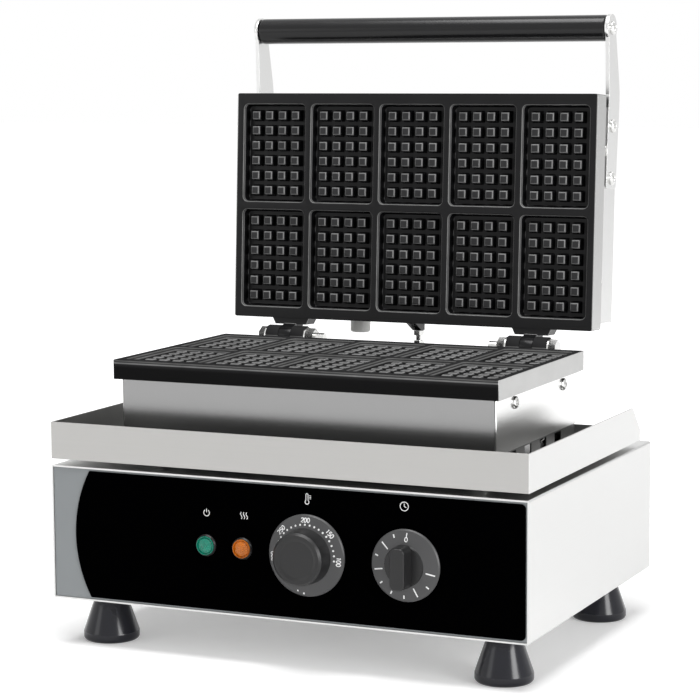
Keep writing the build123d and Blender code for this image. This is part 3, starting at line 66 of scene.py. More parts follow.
Node = bpy.types.Node
NodeTree = bpy.types.NodeTree
Object = bpy.types.Object
Socket = bpy.types.NodeSocket
Sockets = bpy.types.bpy_prop_collection


class Grain(Enum):
    """The way that a sheet was brushed."""

    LEVEL = (4.0, 4.0, 900.0)
    UPRIGHT = (900.0, 900.0, 4.0)
    ACROSS = (4.0, 900.0, 900.0)


# Node tools


class Tree:
    """A short way to write a node tree."""

    def __init__(self, tree: NodeTree) -> None:
        """Keep the tree that nodes are added to."""
        self.tree = tree

    def add(self, kind: str, inputs: dict | None = None, **settings: object) -> Node:
        """Add a node.

        Args:
            kind: the node's type, without the leading ShaderNode.
            inputs: input name or index to a constant or to the output that feeds it.
            settings: attributes of the node itself.

        Returns:
            The new node.
        """
        node = self.tree.nodes.new(f"ShaderNode{kind}")
        for name, value in settings.items():
            setattr(node, name, value)
        self.feed(node, inputs or {})
        return node

    def feed(self, node: Node, inputs: dict) -> None:
        """Set a node's inputs, by name or index."""
        for key, value in inputs.items():
            self.plug(value, node.inputs[key])

    def plug(self, value: object, socket: Socket) -> None:
        """Give a socket a constant, or link it to the output that feeds it."""
        if isinstance(value, Socket):
            self.tree.links.new(value, socket)
        else:
            socket.default_value = value

    def use(self, group: NodeTree, **values: float) -> Sockets:
        """Return what a group gives for the values."""
        return self.add("Group", values, node_tree=group).outputs

    def place(self) -> Socket:
        """Return the object's own coordinates."""
        return self.add("TexCoord").outputs["Object"]

    def axes(self) -> Sockets:
        """Return the object's own X, Y and Z."""
        return self.add("SeparateXYZ", {0: self.place()}).outputs

    def bump(self, strength: float, distance: float, height: Socket) -> Socket:
        """Return the normal raised by a height."""
        inputs = {"Strength": strength, "Distance": distance, "Height": height}
        return self.add("Bump", inputs).outputs[0]

    def math(self, operation: str, *values: object) -> Socket:
        """Return the output of a Math node."""
        return self.add("Math", dict(enumerate(values)), operation=operation).outputs[0]

    def ramp(self, length: Socket, low: float, high: float) -> Socket:
        """Return a length taken from low..high to 0..1, clamped and smoothed."""
        inputs = {"Value": length, "From Min": low * MM, "From Max": high * MM}
        return self.add("MapRange", inputs, interpolation_type="SMOOTHSTEP").outputs[0]

    def band(self, length: Socket, start: float, whole: float, fading: float, gone: float) -> Socket:
        """Return a value that rises from start to whole and falls from fading to gone."""
        return self.math("MULTIPLY", self.ramp(length, start, whole), self.ramp(length, gone, fading))

    def noise(self, vector: Socket, scale: object, detail: float, **more: float) -> Socket:
        """Return the factor of a noise texture."""
        inputs = {"Vector": vector, "Scale": scale, "Detail": detail, **more}
        return self.add("TexNoise", inputs).outputs["Fac"]

    def mix(self, factor: object, first: object, second: object, mode: str = "MIX") -> Socket:
        """Return two colours mixed, or blended by another mode."""
        node = self.add("Mix", data_type="RGBA", blend_type=mode)
        sockets = {socket.identifier: socket for socket in (*node.inputs, *node.outputs)}
        for key, value in (("Factor_Float", factor), ("A_Color", first), ("B_Color", second)):
            self.plug(value, sockets[key])
        return sockets["Result_Color"]


def rgba(colour: Sequence[float], share: float = 1.0) -> tuple[float, ...]:
    """Return a share of a colour, with full alpha."""
    return (*(part * share for part in colour), 1.0)


def new_group(name: str, outputs: Sequence[str], **inputs: float) -> tuple[Tree, Sockets, Node]:
    """Start a shader node group of plain values.

    Args:
        name: the group's name.
        outputs: the names of its outputs.
        inputs: the names of its inputs and their defaults.

    Returns:
        Its tree, what its inputs give, and the node that takes its outputs.
    """
    group = bpy.data.node_groups.new(name, "ShaderNodeTree")
    for key, default in inputs.items():
        socket = group.interface.new_socket(key, in_out="INPUT", socket_type="NodeSocketFloat")
        socket.default_value = default
    for key in outputs:
        group.interface.new_socket(key, in_out="OUTPUT", socket_type="NodeSocketFloat")
    given = group.nodes.new("NodeGroupInput").outputs
    return Tree(group), given, group.nodes.new("NodeGroupOutput")


class Effects:
    """The node groups that more than one finish uses."""

    def __init__(self) -> None:
        """Build each group once."""
        self.brushed = {grain: self.brushed_group(grain) for grain in Grain}
        self.handled = self.handled_group()
        self.cast = self.cast_group()

    @staticmethod
    def brushed_group(grain: Grain) -> NodeTree:
        """Return the streaks of a brushed sheet: noise drawn out along the grain."""
        tree, given, out = new_group(f"brushed_{grain.name.lower()}", ("Streak", "Height"), Strength=0.5)
        drawn = tree.add("Mapping", {"Vector": tree.place(), "Scale": grain.value}).outputs[0]
        coarse = tree.math("MULTIPLY", tree.noise(drawn, 1.0, 3.0, Roughness=0.65), 0.6)
        fine = tree.math("MULTIPLY", tree.noise(drawn, 4.0, 2.0, Roughness=0.6), 0.4)
        both = tree.math("ADD", coarse, fine)
        streak = tree.math("MULTIPLY", tree.math("SUBTRACT", both, 0.5), given["Strength"])
        tree.feed(out, {"Streak": streak, "Height": both})
        return tree.tree

    @staticmethod
    def handled_group() -> NodeTree:
        """Return the broad smears and clouds that wiping leaves on a surface."""
        tree, given, out = new_group("handled", ("Change",), Size=12.0, Amount=0.1)
        cloud = tree.noise(tree.place(), given["Size"], 3.0, Distortion=0.6)
        change = tree.math("MULTIPLY", tree.math("SUBTRACT", cloud, 0.5), given["Amount"])
        tree.feed(out, {"Change": change})
        return tree.tree

    @staticmethod
    def cast_group() -> NodeTree:
        """Return the small pits and orange peel of a coated casting."""
        tree, given, out = new_group("cast_skin", ("Height",), Scale=900.0)
        place = tree.place()
        peel = tree.noise(place, given["Scale"], 2.0)
        pits = tree.add("TexVoronoi", {"Vector": place, "Scale": given["Scale"]}).outputs["Distance"]
        tree.feed(out, {"Height": tree.math("ADD", peel, tree.math("MULTIPLY", pits, 0.3))})
        return tree.tree


def new_material(name: str) -> tuple[Material, Tree, Node]:
    """Return a new material, its tree and its Principled shader."""
    material = bpy.data.materials.new(name)
    material.use_nodes = True
    tree = Tree(material.node_tree)
    return material, tree, material.node_tree.nodes["Principled BSDF"]


# Finishes


@dataclass(frozen=True)
class Finish:
    """A material with one Principled shader."""

    name: str
    colour: Colour

    def inputs(self, tree: Tree, effects: Effects) -> dict:
        """Return what feeds the shader, by the names of its inputs."""
        raise NotImplementedError

    def build(self, effects: Effects) -> Material:
        """Return the material."""
        material, tree, shader = new_material(self.name)
        tree.feed(shader, self.inputs(tree, effects))
        return material


@dataclass(frozen=True)
class HollowShade:
    """The tray's inner faces, painted darker: painted shade and painted reflection of dark parts."""

    half_width: float
    front_y: float
    floor_z: float
    colour: Colour

    def mask(self, tree: Tree, place: Sockets) -> Socket:
        """Return 1 on the inside, within the walls and above the floor's underside."""
        within = tree.ramp(tree.math("ABSOLUTE", place["X"]), self.half_width, self.half_width - 0.3)
        behind = tree.ramp(place["Y"], self.front_y, self.front_y + 0.3)
        above = tree.ramp(place["Z"], self.floor_z - 0.4, self.floor_z - 0.1)
        return tree.math("MULTIPLY", tree.math("MULTIPLY", within, behind), above)


@dataclass(frozen=True)
class BrushedSteel(Finish):
    """Stainless sheet with grain; painted light on ends in x, painted shade on the tray's inner faces."""

    roughness: float
    grain: Grain = Grain.LEVEL
    streaks: float = 0.35
    # painted light: a lighter colour for the sheets at either end in x
    painted_light_end_x: float = 0.0
    painted_light_end_colour: Colour = (0.6, 0.6, 0.595)
    # painted shade and painted reflection on the tray's inner faces
    hollow_shade: HollowShade | None = None

    def inputs(self, tree: Tree, effects: Effects) -> dict:
        """Return the sheets' tones, grain, clouds of wiping, painted light and painted shade."""
        brushed = tree.use(effects.brushed[self.grain], Strength=self.streaks)
        handled = tree.use(effects.handled, Size=14.0, Amount=0.08)
        tone = tree.math("ADD", brushed["Streak"], handled["Change"])
        place = tree.axes()
        base: object = rgba(self.colour)
        # the ends in x take a lighter colour: painted light, for the bright sides
        if self.painted_light_end_x:
            end = tree.ramp(tree.math("ABSOLUTE", place["X"]), self.painted_light_end_x - 0.6, self.painted_light_end_x - 0.3)
            base = tree.mix(end, base, rgba(self.painted_light_end_colour))
        # the tray's inner faces take a darker colour: painted shade and painted reflection
        if self.hollow_shade:
            base = tree.mix(self.hollow_shade.mask(tree, place), base, rgba(self.hollow_shade.colour))
        bright = tree.math("MULTIPLY_ADD", tree.math("ADD", 0.5, tone), 0.36, 0.82)
        shade = tree.add("CombineColor", dict.fromkeys(range(3), bright)).outputs[0]
        return {
            "Base Color": tree.mix(1.0, base, shade, "MULTIPLY"),
            "Roughness": tree.math("ADD", self.roughness, tree.math("MULTIPLY", tone, 0.35)),
            "Normal": tree.bump(0.08, 0.00005, brushed["Height"]),
            "Metallic": 1.0,
        }


@dataclass(frozen=True)
class Polished(Finish):
    """Bright turned or plated metal: screws, bolts and rods."""

    roughness: float

    def inputs(self, tree: Tree, effects: Effects) -> dict:
        """Return plain metal with the smears of handling."""
        change = tree.use(effects.handled, Size=160.0, Amount=0.25)["Change"]
        rough = tree.math("ADD", self.roughness, change)
        return {"Base Color": rgba(self.colour), "Roughness": rough, "Metallic": 1.0}


@dataclass(frozen=True)
class Moulded(Finish):
    """Plastic, rubber or film: a plain colour with a fine skin and a handled sheen.

    What lies in front of front_y may have its own colour, as a grip in front of its skirt.
    """

    roughness: float
    skin: float = 1400.0
    depth: float = 0.1
    clouds: float = 0.1
    specular: float = 0.5
    front_y: float = 0.0
    front_colour: Colour = (0.03, 0.03, 0.031)

    def inputs(self, tree: Tree, effects: Effects) -> dict:
        """Return the colours, the sheen and the skin."""
        skin = tree.use(effects.cast, Scale=self.skin)["Height"]
        change = tree.use(effects.handled, Size=30.0, Amount=self.clouds)["Change"]
        colour = tree.mix(tree.math("ADD", 0.5, change), rgba(self.colour, 0.8), rgba(self.colour, 1.2))
        if self.front_y:
            ahead = tree.ramp(tree.axes()["Y"], self.front_y, self.front_y - 0.5)
            colour = tree.mix(ahead, colour, rgba(self.front_colour))
        return {
            "Base Color": colour,
            "Roughness": tree.math("ADD", self.roughness, change),
            "Normal": tree.bump(self.depth, 0.0001, skin),
            "Specular IOR Level": self.specular,
        }


@dataclass(frozen=True)
class CoatedCasting(Finish):
    """A cast plate: a black non-stick coat, with the sides left bare.

    The depth below the cooking face, along its normal, sets the studs, in a lighter colour, apart
    from the face and the floors, whose dark colour is painted shade in the recesses, and it finds the
    rounded edges, whose pale colour is partly wear through the coat and partly painted highlight.
    """

    normal: Place
    face: float
    stud: Colour = (0.022, 0.022, 0.023)
    # pale colours of the rounded edges: partly wear through the coat, partly painted highlight
    stud_edge_highlight: Colour = (0.34, 0.34, 0.34)
    rim: Colour = (0.34, 0.34, 0.335)
    # the mould floors' dark colour: painted shade in the recesses
    floor: Colour = (0.005, 0.005, 0.0055)
    bare: Colour = (0.43, 0.43, 0.425)
    roughness: float = 0.22
    side_x: float = 153.6
    specular: float = 0.16

    def inputs(self, tree: Tree, effects: Effects) -> dict:
        """Return the coat by depth, with painted shade and highlight, and bare metal at either end in x."""
        skin = tree.use(effects.cast, Scale=700.0)["Height"]
        change = tree.use(effects.handled, Size=40.0, Amount=0.5)["Change"]
        across = tree.math("ABSOLUTE", tree.axes()["X"])
        bare = tree.ramp(across, self.side_x - 0.9, self.side_x - 0.2)
        along = tree.add("VectorMath", {0: tree.place(), 1: self.normal}, operation="DOT_PRODUCT")
        depth = tree.math("SUBTRACT", self.face * MM, along.outputs["Value"])
        # random clouds: they vary the tone of coat and studs as wear, and gate the painted highlight on the
        # edges
        worn = tree.math("ADD", 0.5, change)
        coat = tree.mix(worn, rgba(self.colour, 0.7), rgba(self.colour, 1.5))
        stud = tree.mix(worn, rgba(self.stud, 0.6), rgba(self.stud, 1.5))
        coat = tree.mix(tree.band(depth, 1.3, 1.6, 1.9, 2.8), coat, stud)
        # the floors, deeper than 3 mm, take the dark colour: painted shade in the moulds
        coat = tree.mix(tree.ramp(depth, 3.0, 6.0), coat, rgba(self.floor))
        # the rounded edges of rims and studs take pale colours: partly wear through the coat, partly painted
        # highlight
        edges = ((self.rim, (0.05, 0.3, 0.85, 1.4)), (self.stud_edge_highlight, (1.76, 2.0, 2.5, 3.2)))
        for colour, depths in edges:
            coat = tree.mix(tree.math("MULTIPLY", tree.band(depth, *depths), worn), coat, rgba(colour))
        return {
            "Base Color": tree.mix(bare, coat, rgba(self.bare)),
            "Roughness": tree.math("ADD", self.roughness, tree.math("MULTIPLY", change, 0.3)),
            "Metallic": bare,
            "Normal": tree.bump(0.25, 0.0001, skin),
            "Specular IOR Level": self.specular,
        }


@dataclass(frozen=True)
class LampLens(Finish):
    """Clear coloured plastic, which glows a little in its own colour."""

    glow: float

    def inputs(self, tree: Tree, effects: Effects) -> dict:
        """Return the clouded colour, which also glows, under a thin coat."""
        change = tree.use(effects.handled, Size=260.0, Amount=0.9)["Change"]
        colour = tree.mix(tree.math("ADD", 0.5, change), rgba(self.colour, 0.55), rgba(self.colour, 1.35))
        return {
            "Base Color": colour, "Emission Color": colour, "Emission Strength": self.glow,
            "Roughness": 0.14, "Specular IOR Level": 0.3, "Coat Weight": 0.15, "Coat Roughness": 0.05,
        }


@dataclass(frozen=True)
class Fibre(Finish):
    """Felted ceramic blanket."""

    def inputs(self, tree: Tree, effects: Effects) -> dict:
        """Return the fluff, as colour and relief."""
        fluff = tree.noise(tree.place(), 600.0, 5.0, Roughness=0.7)
        colour = tree.mix(fluff, rgba(self.colour, 0.8), rgba(self.colour))
        return {"Base Color": colour, "Normal": tree.bump(0.8, 0.0006, fluff), "Roughness": 0.95}


# Mesh tools


def make_object(
    name: str, points: Array, faces: Array, material: Material, smooth: bool = False,
    caps: Sequence[Sequence[int]] = (),
) -> Object:
    """Make a mesh object at the origin; one closed by round caps has its faces turned outwards.

    Args:
        name: the piece's name.
        points: (n, 3) places in metres.
        faces: (m, 4) or (m, 3) indices.
        material: its finish.
        smooth: whether its faces are shaded smooth.
        caps: the indices of its round caps.

    Returns:
        The new object, linked to the scene.
    """
    mesh = bpy.data.meshes.new(name)
    mesh.from_pydata(points.tolist(), [], faces.tolist() + [list(cap) for cap in caps])
    mesh.validate()
    if len(caps):
        work = bmesh.new()
        work.from_mesh(mesh)
        bmesh.ops.recalc_face_normals(work, faces=work.faces)
        work.to_mesh(mesh)
        work.free()
    mesh.update()
    return add_piece(mesh, material, smooth)


def add_piece(mesh: bpy.types.Mesh, material: Material, smooth: bool) -> Object:
    """Give a mesh its shading and finish, and return a new object with it."""
    mesh.polygons.foreach_set("use_smooth", np.full(len(mesh.polygons), smooth))
    mesh.materials.append(material)
    return link(mesh.name, mesh)


def link(name: str, data: bpy.types.ID) -> Object:
    """Return a new object that holds the data, linked to the scene."""
    piece = bpy.data.objects.new(name, data)
    bpy.context.scene.collection.objects.link(piece)
    return piece


def grid_faces(rows: int, columns: int, wrap: bool) -> Array:
    """Return the quads of a grid of points, row by row; wrap joins the last column to the first."""
    across = columns if wrap else columns - 1
    row, column = np.meshgrid(np.arange(rows - 1), np.arange(across), indexing="ij")
    after = (column + 1) % columns
    first = row * columns + column
    second = row * columns + after
    return np.stack([first, second, second + columns, first + columns], axis=-1).reshape(-1, 4)


def ribbon(path: Array, width: float, thickness: float) -> Pair:
    """Turn a flat path into a thin closed bar.

    Its edges run half the width to each side of the path, along the normal of the mean direction.

    Args:
        path: (n, 2) points.
        width: the bar's width.
        thickness: the height of its upper layer above the lower one.

    Returns:
        (u, v, h) points and quads.
    """
    run = np.gradient(path, axis=0)
    run = run / np.linalg.norm(run, axis=1, keepdims=True)
    side = np.c_[-run[:, 1], run[:, 0]] * width / 2
    left, right = path + side, path - side
    corners = ((left, 0.0), (left, thickness), (right, thickness), (right, 0.0))
    layers = [np.c_[edge, np.full(len(path), height)] for edge, height in corners]
    points = np.stack(layers, axis=1).reshape(-1, 3)
    sides = grid_faces(len(path), 4, wrap=True)
    ends = np.array([(3, 2, 1, 0), (0, 1, 2, 3)]) + [[0], [4 * (len(path) - 1)]]
    return points, np.vstack([sides, ends])


def arc(centre: Spot, radii: Spot, start: float, end: float, steps: int = 12) -> Array:
    """Return points on an elliptical arc, angles in degrees counter-clockwise from the right."""
    angle = np.radians(np.linspace(start, end, steps))
    return np.c_[centre[0] + radii[0] * np.cos(angle), centre[1] + radii[1] * np.sin(angle)]


# The strokes of plain digits in a cell 0.6 wide and 1 high, centred on the origin
DIGITS = {
    "0": [arc((0, 0), (0.3, 0.5), 90, 450, 25)],
    "1": [np.array([(-0.12, 0.32), (0.05, 0.5), (0.05, -0.5)])],
    "2": [np.vstack([arc((0, 0.22), (0.28, 0.28), 165, -30), [(-0.3, -0.5), (0.3, -0.5)]])],
    "3": [arc((0, 0.24), (0.27, 0.26), 150, -80), arc((0, -0.24), (0.3, 0.27), 80, -150)],
    "5": [np.vstack([[(0.25, 0.5), (-0.2, 0.5), (-0.25, 0.06)],
                     arc((-0.02, -0.2), (0.3, 0.3), 130, -140, 14)])],
}


def join_parts(parts: Iterable[Pair]) -> Pair:
    """Return several (points, quads) pairs as one."""
    points, faces, offset = [], [], 0
    for part_points, part_faces in parts:
        points.append(part_points)
        faces.append(part_faces + offset)
        offset += len(part_points)
    return np.vstack(points), np.vstack(faces)


def disc_grid(radii: Array, around: int) -> Pair:
    """Return u and v of rings of points about a centre, one ring for each radius."""
    angle = np.linspace(0, 2 * pi, around, endpoint=False)
    return np.outer(radii, np.cos(angle)), np.outer(radii, np.sin(angle))


def close_disc(u: Array, v: Array, height: Array, foot: Place) -> tuple[Array, ...]:
    """Close a disc of rings from below.

    Args:
        u, v, height: the disc's rings, from the middle outwards.
        foot: the outer and inner radius of the underside, and its height.

    Returns:
        u, v and height with the underside's two rings, the quads and the two round caps.
    """
    around = u.shape[1]
    foot_u, foot_v = disc_grid(np.array(foot[:2]), around)
    u, v = np.vstack([u, foot_u]), np.vstack([v, foot_v])
    height = np.vstack([height, np.full(foot_u.shape, foot[2])])
    caps = np.array([np.arange(around)[::-1], np.arange(around) + around * (len(u) - 1)])
    return u, v, height, grid_faces(len(u), around, wrap=True), caps


def seated_on(origin: Sequence[float], outward: Sequence[float], up: Sequence[float]) -> Placer:
    """Return a function that places (u, v, height) on a plane in space, from mm to metres."""
    normal = np.array(outward, float) / np.linalg.norm(outward)
    above = np.array(up, float) / np.linalg.norm(up)
    right = np.cross(above, normal)

    def place(u: Array, v: Array, height: Array) -> Array:
        """Return points in metres."""
        outer = np.multiply.outer
        flat = outer(u, right) + outer(v, above) + outer(height, normal)
        return (flat + np.array(origin, float)) * MM

    return place


# Places, prints, lenses and screws


@dataclass(frozen=True)
class Layout:
    """Sizes and places of the iron that the dressing lies on, in mm."""

    overlay_y: float = -141.5
    base_bottom: float = 35.6
    power_lamp: Spot = (-59.0, 49.8)
    heat_lamp: Spot = (-29.8, 49.8)
    thermostat: Spot = (22.1, 49.3)
    timer: Spot = (98.1, 48.5)
    hinge: Place = (0.0, 86.9, 210.0)
    open_lean: float = 3.25
    lid_edge: Place = (0.0, 89.94, 224.65)
    edge_above_hinge: float = 14.8
    face_behind_hinge: float = 2.2

    def panel(self, x: float = 0.0, height: float = 0.0) -> Placer:
        """Return a placer on the overlay, about x and a height above the base's underside."""
        return seated_on((x, self.overlay_y, self.base_bottom + height), (0, -1, 0), (0, 0, 1))

    def lid_axes(self) -> tuple[Place, Place]:
        """Return the directions up the face of the open upper plate and behind it."""
        lean = radians(self.open_lean)
        return (0.0, sin(lean), cos(lean)), (0.0, cos(lean), -sin(lean))


LAYOUT = Layout()


@dataclass
class PanelPrint:
    """White pictograms printed on the overlay, above the lamps and the knobs."""

    ink: Material
    line: float = 0.55
    film: float = 0.06

    def strokes(self) -> list[Stroke]:
        """Return each stroke as a path in panel x and height, with its width."""
        power, heat, thermo, clock = (-58.7, 73.5), (-28.5, 73.5), (21.5, 89.4), (96.1, 89.5)
        paths = [arc(power, (2.3, 2.3), 125, 415, 22), np.add(power, [(0, 0.4), (0, 3.0)])]
        sway = np.linspace(0, 1, 14)
        for shift in (-2.2, 0.0, 2.2):
            wave = heat[0] + shift + 0.55 * np.sin(sway * 2 * pi)
            paths.append(np.c_[wave, heat[1] - 2.4 + 5.0 * sway])
        paths.append(arc((thermo[0], thermo[1] - 2.3), (1.5, 1.5), 125, 415, 18))
        paths += [np.add(thermo, [(x, -1.1), (x, 2.9)]) for x in (-0.85, 0.85)]
        paths.append(arc((thermo[0], thermo[1] + 2.9), (0.85, 0.85), 0, 180, 9))
        paths.append(arc(clock, (3.1, 3.1), 0, 360, 32))
        paths += [np.add(clock, [(0, 2.0), (0, 0)]), np.add(clock, [(0, 0), (1.5, -0.7)])]
        short = [np.add(thermo, [(1.8, y), (3.2, y)]) for y in (0.2, 1.3, 2.4)]
        return [(path, self.line) for path in paths] + [(path, self.line * 0.8) for path in short]

    def build(self) -> Object:
        """Return the prints as one piece that rides on the base."""
        points, faces = join_parts(ribbon(path, width, self.film) for path, width in self.strokes())
        piece = make_object("panel_pictograms", LAYOUT.panel()(*points.T), faces, self.ink)
        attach(piece, "base")
        return piece


@dataclass
class DialPrint:
    """White marks on the skirt of a knob, which slopes straight from its edge up to the grip."""

    name: str
    body: str
    centre: Spot
    ink: Material
    skirt_radius: float
    grip_radius: float
    edge_height: float = 3.6
    rise: float = 2.0
    film: float = 0.07

    def build(self, marks: list[Stroke]) -> Object:
        """Return the marks, given about the knob's centre, as one piece laid on the skirt."""
        points, faces = join_parts(ribbon(path, width, self.film) for path, width in marks)
        u, v, raised = points.T
        outer = self.skirt_radius - 0.8
        share = np.clip((outer - np.hypot(u, v)) / (outer - self.grip_radius), 0, 1)
        height = self.edge_height + self.rise * share + raised
        piece = make_object(self.name, LAYOUT.panel(*self.centre)(u, v, height), faces, self.ink)
        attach(piece, self.body)
        return piece


def spoke(angle: float, inner: float, outer: float, steps: int = 4) -> Array:
    """Return a radial line at an angle in degrees, clockwise from the top."""
    turn = radians(angle)
    reach = np.linspace(inner, outer, steps)
    return np.c_[reach * sin(turn), reach * cos(turn)]


def number_marks(text: str, angle: float, radius: float, height: float, line: float) -> list[Stroke]:
    """Return the strokes of a number that stands on a dial, its top outwards."""
    turn = radians(angle)
    right = np.array([cos(turn), -sin(turn)])
    up = np.array([sin(turn), cos(turn)])
    marks = []
    pitch = 0.78 * height
    for index, digit in enumerate(text):
        shift = (index - (len(text) - 1) / 2) * pitch
        for path in DIGITS[digit]:
            flat = path * height
            marks.append((np.outer(flat[:, 0] + shift, right) + np.outer(flat[:, 1] + radius, up), line))
    return marks


def dot(angle: float, radius: float, width: float) -> Stroke:
    """Return a round dot on a dial: a ring whose stroke closes its middle."""
    centre = spoke(angle, radius, radius, 1)[0]
    return arc(tuple(centre), (width / 4, width / 4), 0, 360, 13), width / 2


def thermostat_marks() -> list[Stroke]:
    """Return 21 dots over 190 degrees, a number at every fifth, and two marks for off."""
    marks = [dot(angle, 22.5, 1.5) for angle in np.linspace(-95, 95, 21)]
    for angle, text in zip(np.linspace(-95, 95, 5), ("300", "250", "200", "150", "100")):
        marks += number_marks(text, angle, 25.7, 3.0, 0.66)
    return marks + [dot(194, 26.2, 1.3), dot(183.5, 27.2, 1.5)]


def timer_marks() -> list[Stroke]:
    """Return the timer's long and short marks, with a ringed mark for zero."""
    zero, step = 4.4, -26.1
    marks = []
    for index in range(1, 11):
        inner, width = (16.6, 0.95) if index in (2, 4, 8, 10) else (20.8, 1.0)
        marks.append((spoke(zero + index * step, inner, 23.3), width))
    ring = arc(tuple(spoke(4, 18.8, 18.8, 1)[0]), (1.0, 1.5), 0, 360, 20)
    return marks + [(spoke(4, 20.6, 23.4), 0.7), (ring, 0.6)]


@dataclass
class PrismLens:
    """A signal lamp's lens: a low dome with a crossed pattern of prisms, inside a raised rim."""

    name: str
    node: str
    centre: Spot
    finish: Material
    radius: float = 6.8
    seat: float = 0.8
    edge: float = 2.2
    dome: float = 1.5
    dome_share: float = 0.84
    rim_rise: float = 0.9
    prism: float = 0.42
    pitch: float = 1.7
    turn: float = 35.0
    middle: float = 0.02
    rings: int = 26
    around: int = 72

    def build(self) -> Object:
        """Return the lens.

        Its dome is a parabola plus a crossed triangle wave that fades at the edge; outside, it
        steps down into a groove and up again to the rim.
        """
        domed = self.dome_share * self.radius
        rim = self.radius * np.array([self.dome_share + 0.03, 0.91, 0.935, 0.985, 1.0])
        u, v = disc_grid(np.r_[np.linspace(self.middle, domed, self.rings), rim], self.around)
        turn = radians(self.turn)
        along, across = u * cos(turn) + v * sin(turn), v * cos(turn) - u * sin(turn)
        waves = sum(np.abs((side / self.pitch) % 1 - 0.5) for side in (along, across))
        reach = np.hypot(u, v) / domed
        relief = self.prism * waves * np.clip((0.97 - reach) * 12, 0, 1)
        height = self.edge + self.dome * np.clip(1 - reach**2, 0, 1) + relief
        steps = (-0.5, -0.5, self.rim_rise, self.rim_rise, self.rim_rise - 0.3)
        height[self.rings:] += np.array(steps)[:, None]
        u, v, height, faces, caps = close_disc(u, v, height, (self.radius, self.middle, self.seat))
        points = LAYOUT.panel(*self.centre)(u, v, height).reshape(-1, 3)
        piece = make_object(self.name, points, faces, self.finish, caps=caps)
        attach(piece, "base")
        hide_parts(self.node)
        return piece


